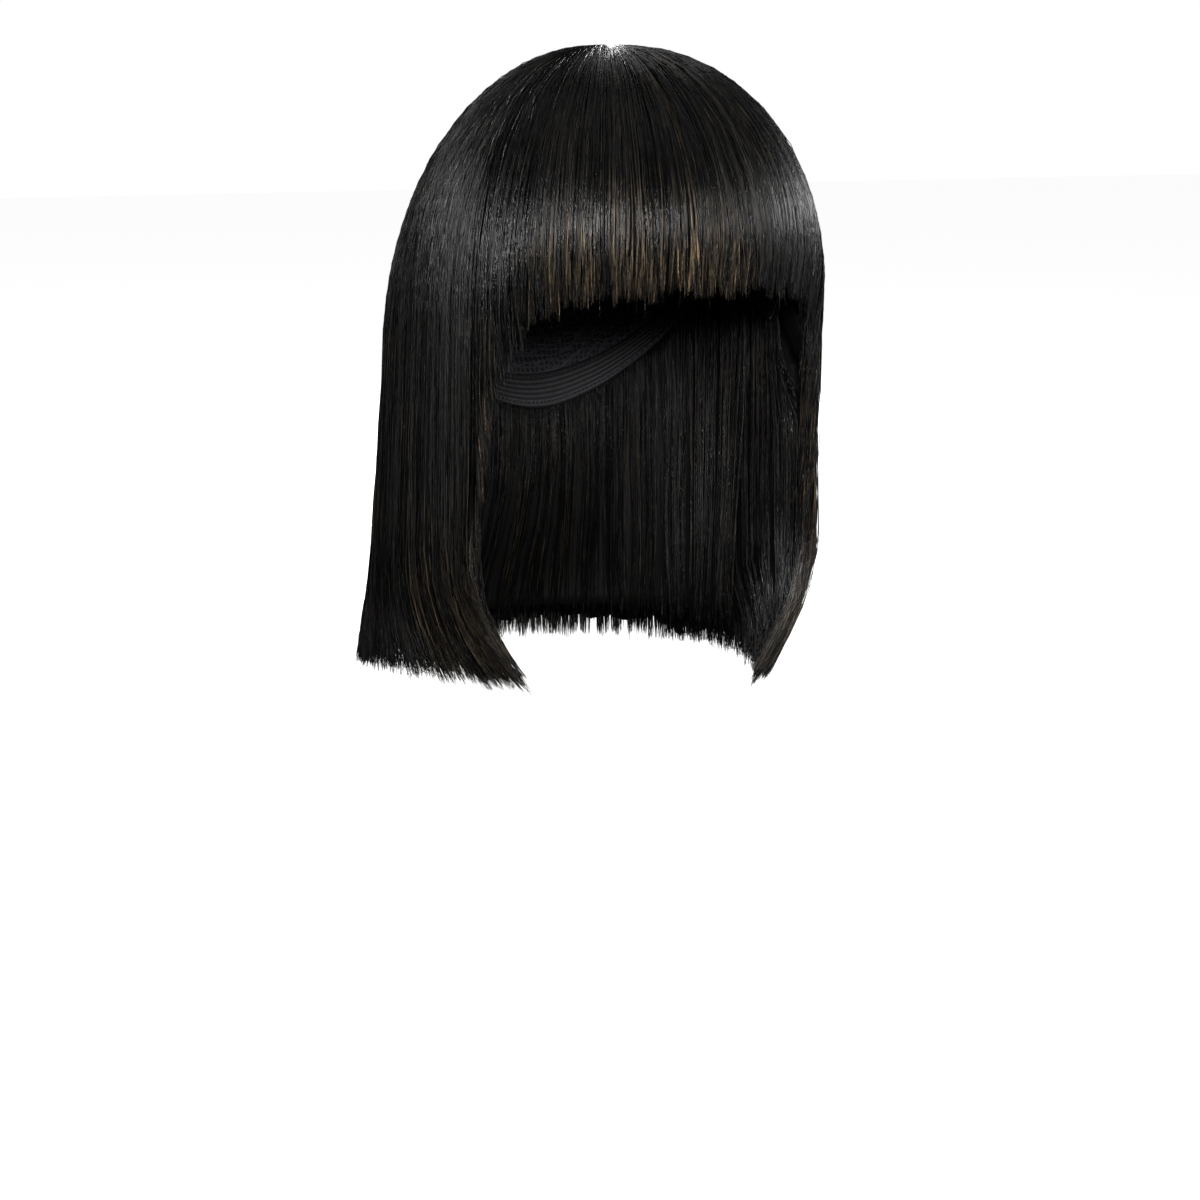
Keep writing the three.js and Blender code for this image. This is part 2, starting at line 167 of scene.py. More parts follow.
# The camera looks along the photograph's line of sight. The part's middle lies above the frame's middle.
FRAME_PIXELS = 1200
MIDDLE = Vector((0, 0, -0.135))
MIDDLE_PIXEL = (604.5, 361.2)
VIEW_AZIMUTH = -29
VIEW_ELEVATION = 5
VIEW_DISTANCE = 1.6
PIXEL_SIZE = 0.00047  # metres a pixel at the part's middle
SENSOR_WIDTH = 36

# The studio: the floor, what light the world gives the hair, and how brightly the floor shows
FLOOR_EDGE = 6.0
FLOOR_DROP = 0.016
AMBIENT = 0.022
FLOOR_GLOW = 0.95

# The lights: azimuth, elevation, distance from the part's middle, width and height, and watts
LIGHTS = [
    ("front_strip", -20, 17.5, 1.6, (1.3, 0.34), 32),
    ("back_top", 150, 42, 1.4, (0.8, 0.8), 1.6),
    ("back_strip", 172, 17, 1.6, (1.3, 0.34), 17),
    ("overhead", -29, 82, 1.3, (1.1, 1.1), 2),
    ("right_side", -110, 14, 1.6, (0.6, 0.4), 2.2),
    ("left_side", 82, 15, 1.8, (0.9, 0.4), 11),
]

ONE_WAVE = 0.3142  # the scale at which a wave texture has one wave for each unit of its coordinate

# What the trees below have in common
MATH = "ShaderNodeMath"
STEP = {"interpolation_type": "SMOOTHSTEP"}
STORE = "GeometryNodeStoreNamedAttribute"
ON_POINTS = {"data_type": "FLOAT", "domain": "POINT"}

low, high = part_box("crown_patch")
CROWN = np.array([(low.x + high.x) / 2, (low.y + high.y) / 2])


def linear(colour):
    """The linear colour of an sRGB hex value, with full alpha."""
    values = [((colour >> shift) & 255) / 255 for shift in (16, 8, 0)]
    return [v / 12.92 if v <= 0.04045 else ((v + 0.055) / 1.055) ** 2.4 for v in values] + [1]


def add_node(tree, kind, inputs=(), **settings):
    """A node with its settings. Its inputs, in order or by name or number, are values, outputs of other
    nodes, or other nodes, of which the first output is meant."""
    node = tree.nodes.new(kind)
    for name, value in settings.items():
        setattr(node, name, value)
    for name, value in inputs.items() if isinstance(inputs, dict) else enumerate(inputs):
        if isinstance(value, bpy.types.Node):
            value = value.outputs[0]
        if isinstance(value, bpy.types.NodeSocket):
            tree.links.new(value, node.inputs[name])
        else:
            node.inputs[name].default_value = value
    return node


def folded(azimuth):
    """The azimuth on the wearer's left that is alike."""
    return abs((azimuth + 180) % 360 - 180)


def ease(share):
    """A smooth step from 0 to 1."""
    share = np.clip(share, 0, 1)
    return share**2 * (3 - 2 * share)


def form_at(name, azimuth):
    """A row of FORM at any azimuth, as a smooth curve through its values. It stays level past the last."""
    rows = FORM[name]
    last = len(rows) - 1
    at = min(folded(azimuth), rows[last][0])
    after = next((k for k in range(1, last) if rows[k][0] >= at), last)

    def slope(k):
        if k in (0, last):
            return 0
        return (rows[k + 1][1] - rows[k - 1][1]) / (rows[k + 1][0] - rows[k - 1][0])

    width = rows[after][0] - rows[after - 1][0]
    s = (at - rows[after - 1][0]) / width
    start = rows[after - 1][1] * (1 + 2 * s) * (1 - s) ** 2
    end = rows[after][1] * s**2 * (3 - 2 * s)
    bend = slope(after - 1) * s * (1 - s) ** 2 - slope(after) * s**2 * (1 - s)
    return start + end + bend * width


def outline_share(x, y, side, front, back):
    """Where a point lies in an outline seen from above: 0 is its middle, 1 its edge."""
    depth = np.where(y < 0, CAP_FRONT + front, CAP_BACK + back)
    across = np.abs(x) / (CAP_WIDTH / 2 + side)
    return (across**PLAN_POWER + (np.abs(y) / depth) ** PLAN_POWER) ** (1 / PLAN_POWER)


def direction_of(azimuth):
    """The direction of an azimuth, from the whorl to the cap's outline."""
    angle = math.radians(azimuth)
    across, along = math.sin(angle), -math.cos(angle)
    depth = CAP_FRONT if along < 0 else CAP_BACK
    x = CAP_WIDTH / 2 * math.copysign(abs(across) ** (2 / PLAN_POWER), across)
    y = depth * math.copysign(abs(along) ** (2 / PLAN_POWER), along)
    away = np.array([x, y]) - CROWN
    return away / np.linalg.norm(away)


def reach_of(azimuth, side, front, back):
    """The distance from the whorl to an outline."""
    direction = direction_of(azimuth)
    inside, outside = 0.0, 0.3
    for _ in range(30):
        middle = (inside + outside) / 2
        x, y = CROWN + direction * middle
        if outline_share(x, y, side, front, back) < 1:
            inside = middle
        else:
            outside = middle
    return inside


def dome_share(level, top, widest, power):
    """The share of its reach that a dome has at a level. It is 1 from the widest level down."""
    height = np.clip((level + widest) / (widest + top), 0, 1)
    return (1 - height**power) ** (1 / power)


def dome_levels(start, end, top, widest, power):
    """Levels from the share of its reach at which a dome starts, over it and down to an end."""
    turn = np.linspace(math.asin(start ** (power / 2)), math.pi / 2, 60)
    levels = -widest + (widest + top) * np.maximum(0, np.cos(turn)) ** (2 / power)
    levels = levels[levels > end]
    return np.concatenate([levels, np.linspace(-widest, end, 80)[1:] if end < -widest else [end]])


def cap_level(x, y, outside):
    """The level of the cap's inside, or of a dome that lies outside it, over a point seen from above."""
    share = np.minimum(1, outline_share(x, y, outside, outside, outside))
    return -CAP_WIDEST_DROP + (CAP_WIDEST_DROP + outside) * (1 - share**CAP_POWER) ** (1 / CAP_POWER)


def form_of(azimuth):
    """The form of the hair at an azimuth."""
    bob = BOB_DROP + CUT_LEAN * math.sin(math.radians(azimuth))
    form = {name: form_at(name, azimuth) for name in FORM}
    form["azimuth"] = azimuth
    form["widest"] *= HAIR_WIDEST_DROP
    form["cut"] = -(FRINGE_DROP + (bob - FRINGE_DROP) * form["fall"])
    thickness = (CAP_WALL + SIDE_THICKNESS, CAP_WALL + FRONT_THICKNESS, CAP_WALL + BACK_THICKNESS)
    form["reach"] = reach_of(azimuth, *thickness)
    form["cap_reach"] = reach_of(azimuth, 0, 0, 0)
    return form


# The level of the fringe's corner at the temple
CORNER_LEVEL = form_of(FRINGE_EDGE)["cut"]


def turn_at(level):
    """How far the tips have turned at a level: 0 above the stretch that turns, 1 at the cut."""
    return np.maximum(0, (SWING_HEIGHT - BOB_DROP - level) / SWING_HEIGHT) ** SWING_POWER


def outer_distance(form, level):
    """How far out the hair's outer surface lies at a level."""
    hang = np.clip((-form["widest"] - level) / (BOB_DROP - form["widest"]), 0, 1)
    fringe = np.clip((BOB_DROP + form["cut"]) / (BOB_DROP - FRINGE_DROP), 0, 1)
    tucked = FRINGE_TUCK * fringe * np.clip(1 - (level - form["cut"]) / (FRINGE_DROP / 2), 0, 1) ** 2
    lying = form["reach"] * dome_share(level, CAP_WALL + CROWN_THICKNESS, form["widest"], form["power"])
    return lying + TIP_SWING * (form["flare"] * hang - form["swing"] * turn_at(level)) - tucked


def inner_distance(form, level):
    """How far out the hair's inner surface lies: off the cap, then nearer the outer one at the tips and
    at the curtains' free edges."""
    outer = outer_distance(form, level)
    lying = (form["cap_reach"] + SEAT) * dome_share(level, SEAT, CAP_WIDEST_DROP, CAP_POWER)
    near_tips = ease(1 - (level - form["cut"]) / TAPER_HEIGHT)
    lying = lying + (outer - TIP_THICKNESS - lying) * near_tips
    from_edge = np.clip((folded(form["azimuth"]) - FACE_EDGE) / FACE_EDGE_WIDTH, 0, 1)
    thinner = (1 - FACE_EDGE_SHARE) * (1 - np.sqrt(1 - (1 - from_edge) ** 2))
    return lying + (outer - lying) * thinner * below_corner(level)


def below_corner(level):
    """How far a level lies below the fringe's corner at the temple: 0 above it, 1 below it."""
    return ease((CORNER_LEVEL - level) / FACE_EDGE_BLEND)


def near_split(distance, off_split):
    """How near a point is to the split: 1 in its middle, 0 at its ends and away from it."""
    beside = math.exp(-(off_split / SPLIT_REACH) ** 2)
    return np.sin(math.pi * np.clip(distance / SPLIT_LENGTH, 0, 1)) * beside


def place(form, distance, level):
    """The points at distances and levels in an azimuth's plane, swept and parted as the hair is."""
    azimuth = form["azimuth"]
    beside = np.clip(1 - (folded(azimuth) - FACE_EDGE) / SWEEP_WIDTH, 0, 1)
    centred = (azimuth + 180) % 360 - 180
    swept = -math.copysign(TIP_FORWARD, centred) * beside * turn_at(level)
    off_split = centred - SPLIT_AZIMUTH
    opened = near_split(distance, off_split) * math.radians(SPLIT_OPEN) * math.tanh(off_split)
    aside = swept + distance * opened
    x_out, y_out = direction_of(azimuth)
    x = CROWN[0] + x_out * distance - y_out * aside
    y = CROWN[1] + y_out * distance + x_out * aside
    return np.stack([x, y, level + 0 * x], axis=1)


def lengths_along(points):
    """How far along a line each of its points lies."""
    return np.concatenate([[0], np.cumsum(np.linalg.norm(np.diff(points, axis=0), axis=1))])


def steps_along(points, places):
    """A line's points at the given distances along it."""
    travelled = lengths_along(points)
    return np.stack([np.interp(places, travelled, points[:, k]) for k in range(3)], axis=1)


def even_steps(points, rows, start=0.0, end=1.0):
    """A line's points, moved along it until they lie evenly, between two shares of its length."""
    return steps_along(points, np.linspace(start, end, rows) * lengths_along(points)[-1])


def outer_line(azimuth, root=WHORL_RADIUS, past_cut=0.0):
    """The line of a hair on the outside: out of the whorl, over the dome and down to its cut or past it."""
    form = form_of(azimuth)
    top = CAP_WALL + CROWN_THICKNESS
    end = max(form["cut"] - past_cut, LOWEST)
    level = dome_levels(root / form["reach"], end, top, form["widest"], form["power"])
    distance = outer_distance(form, level)
    points = place(form, distance, level)
    risen = ease((distance - root) / ROOT_RISE)
    rooted = cap_level(points[:, 0], points[:, 1], CAP_WALL) + ROOT_THICKNESS
    dip = near_split(distance, 3 * (azimuth - SPLIT_AZIMUTH))
    points[:, 2] = np.where(risen < 1, rooted + (level - rooted) * risen, level) - SPLIT_DEPTH * dip
    return points


def inner_line(azimuth, proud=0.0, past_cut=0.0, below_cap=False):
    """The line of a hair on the inside, from the patch or the cap's rim down to its cut or past it."""
    form = form_of(azimuth)
    end = max(form["cut"] - past_cut, LOWEST)
    level = dome_levels(PATCH_RADIUS / form["cap_reach"], end, SEAT, CAP_WIDEST_DROP, CAP_POWER)
    if below_cap:
        level = np.linspace(0.004 - form["rim"] * CAP_NAPE_DROP, end, 80)
    return place(form, inner_distance(form, level) + proud, level)


def cap_line(azimuth, rows, outside, start=0.0, end=1.0):
    """A line on the cap, from the whorl to the rim."""
    form = form_of(azimuth)
    rim = -form["rim"] * CAP_NAPE_DROP
    level = dome_levels(0, rim, outside, CAP_WIDEST_DROP, CAP_POWER)
    below = np.clip((-CAP_WIDEST_DROP - level) / (CAP_NAPE_DROP - CAP_WIDEST_DROP), 0, 1)
    distance = (form["cap_reach"] + outside) * dome_share(level, outside, CAP_WIDEST_DROP, CAP_POWER)
    distance = distance - form["tuck"] * CAP_NAPE_TUCK * below**TUCK_POWER
    x = CROWN[0] + direction_of(azimuth)[0] * distance
    y = CROWN[1] + direction_of(azimuth)[1] * distance
    on_dome = cap_level(x, y, outside)
    points = np.stack([x, y, np.where(level > -CAP_WIDEST_DROP, on_dome, level)], axis=1)
    return even_steps(points, rows, start, end)


def under_line(azimuth, rows, is_outer, end=1.0):
    """A line of the under layer: from the cap's rim, spreading until it lies along the curtains."""
    form = form_of(azimuth)
    rim = -form["rim"] * CAP_NAPE_DROP - 0.0003
    drop = np.linspace(0, 1, 40)
    level = rim + (UNDER_SHORTER - BOB_DROP - rim) * drop
    seat = cap_line(azimuth, 30, 0)[-1]
    seated = math.hypot(seat[0] - CROWN[0], seat[1] - CROWN[1])
    curtain = np.minimum(inner_distance(form, level), form["cap_reach"] + SEAT) - LAYER_GAP
    spread = ease(drop)
    outer = np.minimum(seated + UNDER_THICKNESS + (curtain - seated - UNDER_THICKNESS) * spread, curtain)
    inner = seated + (curtain - TIP_THICKNESS - seated) * spread**2
    x_out, y_out = direction_of(azimuth)
    distance = outer if is_outer else inner
    points = np.stack([CROWN[0] + x_out * distance, CROWN[1] + y_out * distance, level], axis=1)
    return even_steps(points, rows, 0, end)


def moved_in(points, azimuth, depth):
    """A line's points, moved into the hair square to the line."""
    along = np.gradient(points, axis=0)
    x_out, y_out = direction_of(azimuth)
    outward = np.cross(along, np.array([-y_out, x_out, 0]))
    outward /= np.linalg.norm(outward, axis=1)[:, None]
    return points - outward * np.reshape(depth, (-1, 1))


def walls(lines):
    """The corners of the faces between lines side by side, facing out, as numbers of a grid of points."""
    return np.stack([lines[:-1, :-1], lines[:-1, 1:], lines[1:, 1:], lines[1:, :-1]], axis=-1).reshape(-1, 4)


def new_piece(name, mesh, material=None):
    """An object in the scene for a mesh."""
    piece = bpy.data.objects.new(name, mesh)
    bpy.context.scene.collection.objects.link(piece)
    if material:
        mesh.materials.append(material)
    return piece


def sheet_from(name, lines, cuts=CUT_AT):
    """A sheet through lines side by side, with a UV map that runs across them and along them. Its attribute
    cut is the share of each line's length at which the hair is cut."""
    columns, rows = len(lines), len(lines[0])
    mesh = bpy.data.meshes.new(name)
    faces = walls(np.arange(columns * rows).reshape(columns, rows))
    mesh.from_pydata(np.concatenate(lines).tolist(), [], faces.tolist())
    corners = faces.ravel()
    places = np.stack([corners // rows / (columns - 1), corners % rows / (rows - 1)], axis=-1)
    mesh.uv_layers.new(name="UVMap").data.foreach_set("uv", places.astype(np.float32).ravel())
    shares = np.repeat(np.broadcast_to(cuts, columns), rows).astype(np.float32)
    mesh.attributes.new("cut", "FLOAT", "POINT").data.foreach_set("value", shares)
    mesh.shade_smooth()
    return new_piece(name, mesh)


def guide_sheet(name, azimuths, line_of, **how):
    """A sheet of equally long lines for strands to follow, with its width and length. The lines run on past
    their cuts, so a strand that sways from one to the next stays at its level where the cut steps down."""
    lines = [line_of(azimuth, past_cut=PAST_CUT, **how) for azimuth in azimuths]
    cuts = []
    for azimuth, line in zip(azimuths, lines):
        top = line[:, 2].argmax()
        cuts.append(np.interp(-form_of(azimuth)["cut"], -line[top:, 2], lengths_along(line)[top:]))
    length = max(cuts) / CUT_AT
    lines = [steps_along(line, np.linspace(0, length, SHEET_ROWS)) for line in lines]
    across = np.array([line[round(0.6 * SHEET_ROWS)] for line in lines])
    return sheet_from(name, lines, np.array(cuts) / length), lengths_along(across)[-1], length


def shell_from(name, outside, inside, material, is_ring=False):
    """A closed shell between two walls of lines. Its UV map runs across the lines and along them."""
    columns, rows = len(outside), len(outside[0])
    at = np.arange(2 * columns * rows).reshape(2, columns, rows)
    faces = [walls(at[0]), walls(at[1])[:, ::-1], walls(at[:, :, 0]), walls(at[:, :, -1])]
    if not is_ring:
        faces += [walls(at[:, 0, :]), walls(at[:, -1, :])]
    faces = np.concatenate(faces)
    mesh = bpy.data.meshes.new(name)
    mesh.from_pydata(np.concatenate(list(outside) + list(inside)).tolist(), [], faces.tolist())
    corners = faces.ravel()
    places = np.stack([corners // rows % columns / (columns - 1), corners % rows / (rows - 1)], axis=-1)
    mesh.uv_layers.new(name="UVMap").data.foreach_set("uv", places.astype(np.float32).ravel())
    shape = bmesh.new()
    shape.from_mesh(mesh)
    bmesh.ops.remove_doubles(shape, verts=shape.verts, dist=1e-6)
    bmesh.ops.recalc_face_normals(shape, faces=shape.faces)
    shape.to_mesh(mesh)
    shape.free()
    mesh.shade_smooth()
    return new_piece(name, mesh, material)


def columns_between(start, end, step=SHEET_STEP):
    """The azimuths of a sheet's columns."""
    return np.linspace(start, end, round((end - start) / step) + 1)


def add_camera():
    """The camera, at the photograph's viewing angle."""
    azimuth, elevation = math.radians(VIEW_AZIMUTH), math.radians(VIEW_ELEVATION)
    right = Vector((math.cos(azimuth), math.sin(azimuth), 0))
    ground = Vector((math.sin(azimuth), -math.cos(azimuth), 0))
    towards = ground * math.cos(elevation) + Vector((0, 0, math.sin(elevation)))
    up = towards.cross(right)
    data = bpy.data.cameras.new("camera")
    data.sensor_width = SENSOR_WIDTH
    data.lens = SENSOR_WIDTH * VIEW_DISTANCE / (FRAME_PIXELS * PIXEL_SIZE)
    data.clip_start = 0.1
    camera = bpy.data.objects.new("camera", data)
    camera.location = MIDDLE + towards * VIEW_DISTANCE
    across = (FRAME_PIXELS / 2 - MIDDLE_PIXEL[0]) * PIXEL_SIZE
    down = (MIDDLE_PIXEL[1] - FRAME_PIXELS / 2) * PIXEL_SIZE
    aim = MIDDLE + right * across + up * down
    camera.rotation_euler = (aim - camera.location).to_track_quat("-Z", "Y").to_euler()
    bpy.context.scene.collection.objects.link(camera)
    bpy.context.scene.camera = camera


def add_light(name, azimuth, elevation, distance, size, power):
    """A soft light that faces the part's middle."""
    a, e = math.radians(azimuth), math.radians(elevation)
    towards = Vector((math.sin(a) * math.cos(e), -math.cos(a) * math.cos(e), math.sin(e)))
    data = bpy.data.lights.new(name, "AREA")
    data.shape = "RECTANGLE"
    data.size, data.size_y = size
    data.energy = power
    light = bpy.data.objects.new(name, data)
    light.location = MIDDLE + towards * distance
    light.rotation_euler = (-towards).to_track_quat("-Z", "Y").to_euler()
    bpy.context.scene.collection.objects.link(light)


def new_material(name):
    """A material, its tree and its shader."""
    material = bpy.data.materials.new(name)
    material.use_nodes = True
    return material, material.node_tree, material.node_tree.nodes["Principled BSDF"]


def add_studio():
    """A white floor and world, which light the hair far less than they show, and soft lights."""
    world = bpy.data.worlds.new("studio")
    bpy.context.scene.world = world
    world.use_nodes = True
    tree = world.node_tree
    tree.nodes.clear()
    path = add_node(tree, "ShaderNodeLightPath")
    shown = add_node(tree, "ShaderNodeBackground", {"Color": linear(0xFFFFFF), "Strength": 1.0})
    ambient = add_node(tree, "ShaderNodeBackground", {"Color": linear(0xF0F4FA), "Strength": AMBIENT})
    both = add_node(tree, "ShaderNodeMixShader", (path.outputs["Is Camera Ray"], ambient, shown))
    add_node(tree, "ShaderNodeOutputWorld", {"Surface": both})

    edge, level = FLOOR_EDGE, cad_box[0].z - FLOOR_DROP
    mesh = bpy.data.meshes.new("floor")
    corners = [(-edge, -edge, level), (edge, -edge, level), (edge, edge, level), (-edge, edge, level)]
    mesh.from_pydata(corners, [], [(0, 1, 2, 3)])
    paint, _, surface = new_material("white floor paint")
    surface.inputs["Base Color"].default_value = linear(0xF4F4F4)
    surface.inputs["Roughness"].default_value = 0.9
    surface.inputs["Emission Color"].default_value = linear(0xFFFFFF)
    surface.inputs["Emission Strength"].default_value = FLOOR_GLOW
    floor = new_piece("floor", mesh, paint)
    floor.visible_diffuse = False
    floor.visible_glossy = False

    for light in LIGHTS:
        add_light(*light)
    bpy.context.scene.view_settings.view_transform = "Standard"


def give_surface(tree, surface, colours, relief, values):
    """The finish of a material: colours gives a pattern and the hex colours of its 0 and 1, relief a height,
    its strength and its distance, and values what is the same all over."""
    pattern, dark, light = colours
    ends = {0: pattern, 6: linear(dark), 7: linear(light)}
    colour = add_node(tree, "ShaderNodeMix", ends, data_type="RGBA")
    height, strength, distance = relief
    bump = add_node(tree, "ShaderNodeBump", {"Height": height, "Strength": strength, "Distance": distance})
    tree.links.new(colour.outputs[2], surface.inputs["Base Color"])
    tree.links.new(bump.outputs[0], surface.inputs["Normal"])
    for name, value in values.items():
        surface.inputs[name].default_value = value


def hair_material():
    """Human hair dyed natural black and brushed straight. Its shafts are smooth, so they shine in bands
    across their length, and a slight crinkle, drawn about 5 mm long, breaks each band into short glints. A
    strand here and there is browner. Where the fringe thins out, stretches of some strands near their tips
    are painted golden brown, as a painted glow of the light that comes through them."""
    material, tree, surface = new_material("natural black human hair")
    add = partial(add_node, tree)
    tone = add("ShaderNodeAttribute", attribute_name="tone").outputs["Fac"]
    thin = add("ShaderNodeAttribute", attribute_name="thin").outputs["Fac"]
    place_on = add("ShaderNodeUVMap", uv_map="OFBake")
    noise = {}
    for name, scale, detail in (("stretches", (1900, 13, 1), 1.0), ("crinkle", (700, 55, 1), 2.0),
                                ("tufts", (42, 0, 1), 1.0)):
        spot = add("ShaderNodeMapping", {"Vector": place_on, "Scale": scale})
        noise[name] = add("ShaderNodeTexNoise", {"Vector": spot, "Scale": 1.0, "Detail": detail})
    # The base colour goes from black to golden brown, in stretches along the strands and patches across them:
    # a little for the rare browner strands, and more for the painted glow of light coming through the thin
    # tips
    seen = add("ShaderNodeMapRange", (noise["stretches"], 0.42, 0.62, 0.1, 1.0))
    backlit_tufts = add("ShaderNodeMapRange", (noise["tufts"], 0.4, 0.58, 0.06, 1.0))
    rare = add("ShaderNodeMapRange", (tone, 0.8, 1.0, 0.0, 0.05))
    uneven = add(MATH, (tone, 4.0), operation="POWER")
    shown = add(MATH, (thin, uneven), operation="MULTIPLY")
    shown = add(MATH, (shown, backlit_tufts), operation="MULTIPLY")
    brown_and_backlight = add(MATH, (rare, shown), operation="ADD", use_clamp=True)
    brown_and_backlight = add(MATH, (brown_and_backlight, seen), operation="MULTIPLY")
    dullness = add(MATH, (tone, noise["tufts"]), operation="ADD")
    roughness = add("ShaderNodeMapRange", (dullness, 0.6, 1.3, 0.2, 0.4))
    tree.links.new(roughness.outputs[0], surface.inputs["Roughness"])
    give_surface(tree, surface, (brown_and_backlight, 0x080808, 0xE2C294), (noise["crinkle"], 0.8, 0.0006), {"IOR": 1.55})
    return material


def packed_hair_material():
    """The same hair packed under the loose strands, where hardly any light reaches: only fine dark
    streaks show, drawn 0.6 mm apart, coarser than hairs of 0.07 mm."""
    material, tree, surface = new_material("packed black human hair")
    place_on = add_node(tree, "ShaderNodeUVMap", uv_map="UVMap")
    stretched = add_node(tree, "ShaderNodeMapping", {"Vector": place_on, "Scale": (170, 6, 1)})
    streaks = add_node(tree, "ShaderNodeTexNoise", {"Vector": stretched, "Scale": 1.0, "Detail": 3.0})
    give_surface(tree, surface, (streaks, 0x040303, 0x0E0C0B), (streaks, 0.7, 0.0006),
                 {"Roughness": 0.6, "IOR": 1.3})
    return material


def net_material():
    """Black nylon stretch net, warp knitted: round holes in rows, matt with a faint sheen on the threads.
    The holes show darker, since the hair lies right behind them. They are drawn 2.6 mm apart, where real
    ones are 1.5 mm apart."""
    material, tree, surface = new_material("black nylon stretch net")
    spot = add_node(tree, "ShaderNodeTexCoord").outputs["Object"]
    cells = add_node(tree, "ShaderNodeTexVoronoi", {"Vector": spot, "Scale": 1 / 0.0026, "Randomness": 0.3},
                     feature="DISTANCE_TO_EDGE").outputs["Distance"]
    thread = add_node(tree, "ShaderNodeMapRange", (cells, 0.08, 0.2, 1.0, 0.0))
    give_surface(tree, surface, (thread, 0x050505, 0x38363D), (thread, 0.8, 0.0005),
                 {"Roughness": 0.62, "Sheen Weight": 0.3, "Sheen Roughness": 0.4})
    return material


def band_material():
    """Woven elastic tape of polyester over rubber: matt, with ribs along it. They are drawn 2 mm apart, where
    real ones are 1 mm apart, and the weave between them crosses the tape."""
    material, tree, surface = new_material("black woven elastic tape")
    place_on = add_node(tree, "ShaderNodeUVMap", uv_map="UVMap")
    along = add_node(tree, "ShaderNodeMapping", {"Vector": place_on, "Scale": (0, 7, 0)})
    across = add_node(tree, "ShaderNodeMapping", {"Vector": place_on, "Scale": (190, 3, 0)})
    ribs = add_node(tree, "ShaderNodeTexWave", {"Vector": along, "Scale": ONE_WAVE}, bands_direction="Y")
    weave = add_node(tree, "ShaderNodeTexNoise", {"Vector": across, "Scale": 1.0, "Detail": 2.0})
    cloth = add_node(tree, MATH, (ribs.outputs[1], weave), operation="MULTIPLY")
    give_surface(tree, surface, (cloth, 0x0A0A0B, 0x47474C), (cloth, 0.9, 0.0008), {"Roughness": 0.7})
    return material


def binding_material():
    """Polyester thread sewn tight round the roots of the hair, as on a machine-made weft: a black cord with
    a stitch every 3 mm, which is painted lighter as a painted sheen."""
    material, tree, surface = new_material("black polyester binding thread")
    place_on = add_node(tree, "ShaderNodeUVMap", uv_map="OFBake")
    along = add_node(tree, "ShaderNodeMapping", {"Vector": place_on, "Scale": (0, 180, 0)})
    wave = add_node(tree, "ShaderNodeTexWave", {"Vector": along, "Scale": ONE_WAVE}, bands_direction="Y")
    stitches = wave.outputs[1]
    # The stitches' grey is a painted sheen on the black thread
    give_surface(tree, surface, (stitches, 0x0B0B0C, 0x3C3B40), (stitches, 0.8, 0.0006), {"Roughness": 0.45})
    return material


def new_tree(name, inputs, passing):
    """A tree of Geometry Nodes that works on a sheet, its inputs, and the attributes that it keeps for
    itself on the way."""
    tree = bpy.data.node_groups.new(name, "GeometryNodeTree")
    tree.interface.new_socket("Sheet", in_out="INPUT", socket_type="NodeSocketGeometry")
    for label, kind in inputs.items():
        tree.interface.new_socket(label, in_out="INPUT", socket_type=kind)
    tree.interface.new_socket("Mesh", in_out="OUTPUT", socket_type="NodeSocketGeometry")
    given = add_node(tree, "NodeGroupInput").outputs
    kept = {}
    for label in passing:
        kept[label] = add_node(tree, "GeometryNodeInputNamedAttribute", (label,), data_type="FLOAT")
    return tree, given, kept


def lines_from(tree, points, count):
    """A line with a number of points for each of a cloud's points."""
    line = add_node(tree, "GeometryNodeCurvePrimitiveLine")
    line = add_node(tree, "GeometryNodeResampleCurve", {"Curve": line, "Count": count})
    lines = add_node(tree, "GeometryNodeInstanceOnPoints", {"Points": points, "Instance": line})
    return add_node(tree, "GeometryNodeRealizeInstances", {"Geometry": lines})


def on_sheet(tree, given, value, x, y, kind):
    """What a value of the sheet is at a place of its UV map."""
    uv = add_node(tree, "GeometryNodeInputNamedAttribute", ("UVMap",), data_type="FLOAT_VECTOR")
    spot = add_node(tree, "ShaderNodeCombineXYZ", (x, y))
    return add_node(tree, "GeometryNodeSampleUVSurface", (given["Sheet"], value, uv, spot), data_type=kind)


def tubes_round(tree, lines, sides, radius, number, width, count):
    """Closed tubes round lines. Each has a column of the map OFBake for itself, by its number of a count."""
    add = partial(add_node, tree)
    around = add("GeometryNodeInputNamedAttribute", ("around",), data_type="FLOAT")
    along = add("GeometryNodeInputNamedAttribute", ("along",), data_type="FLOAT")
    turn = add("GeometryNodeSplineParameter")
    ring = add("GeometryNodeCurvePrimitiveCircle", {"Resolution": sides, "Radius": 1.0})
    ring = add(STORE, {"Geometry": ring, "Name": "around", "Value": turn}, **ON_POINTS)
    tubes = add("GeometryNodeCurveToMesh",
                {"Curve": lines, "Profile Curve": ring, "Scale": radius, "Fill Caps": True})
    column = add(MATH, (around, width, 0.1), operation="MULTIPLY_ADD")
    column = add(MATH, (number, column), operation="ADD")
    column = add(MATH, (column, count), operation="DIVIDE")
    spot = add("ShaderNodeCombineXYZ", (column, along))
    return add(STORE, {"Geometry": tubes, "Name": "OFBake", "Value": spot}, data_type="FLOAT2",
               domain="CORNER")


def finish_tree(tree, given, mesh, passing):
    """The end of a tree: a plain smooth mesh with its material, without the attributes kept on the way."""
    for name in passing:
        mesh = add_node(tree, "GeometryNodeRemoveAttribute", {"Geometry": mesh, "Name": name})
    mesh = add_node(tree, "GeometryNodeSetShadeSmooth", {"Geometry": mesh})
    mesh = add_node(tree, "GeometryNodeRealizeInstances", {"Geometry": mesh})
    mesh = add_node(tree, "GeometryNodeSetMaterial", {"Geometry": mesh, "Material": given["Material"]})
    add_node(tree, "NodeGroupOutput", (mesh,))


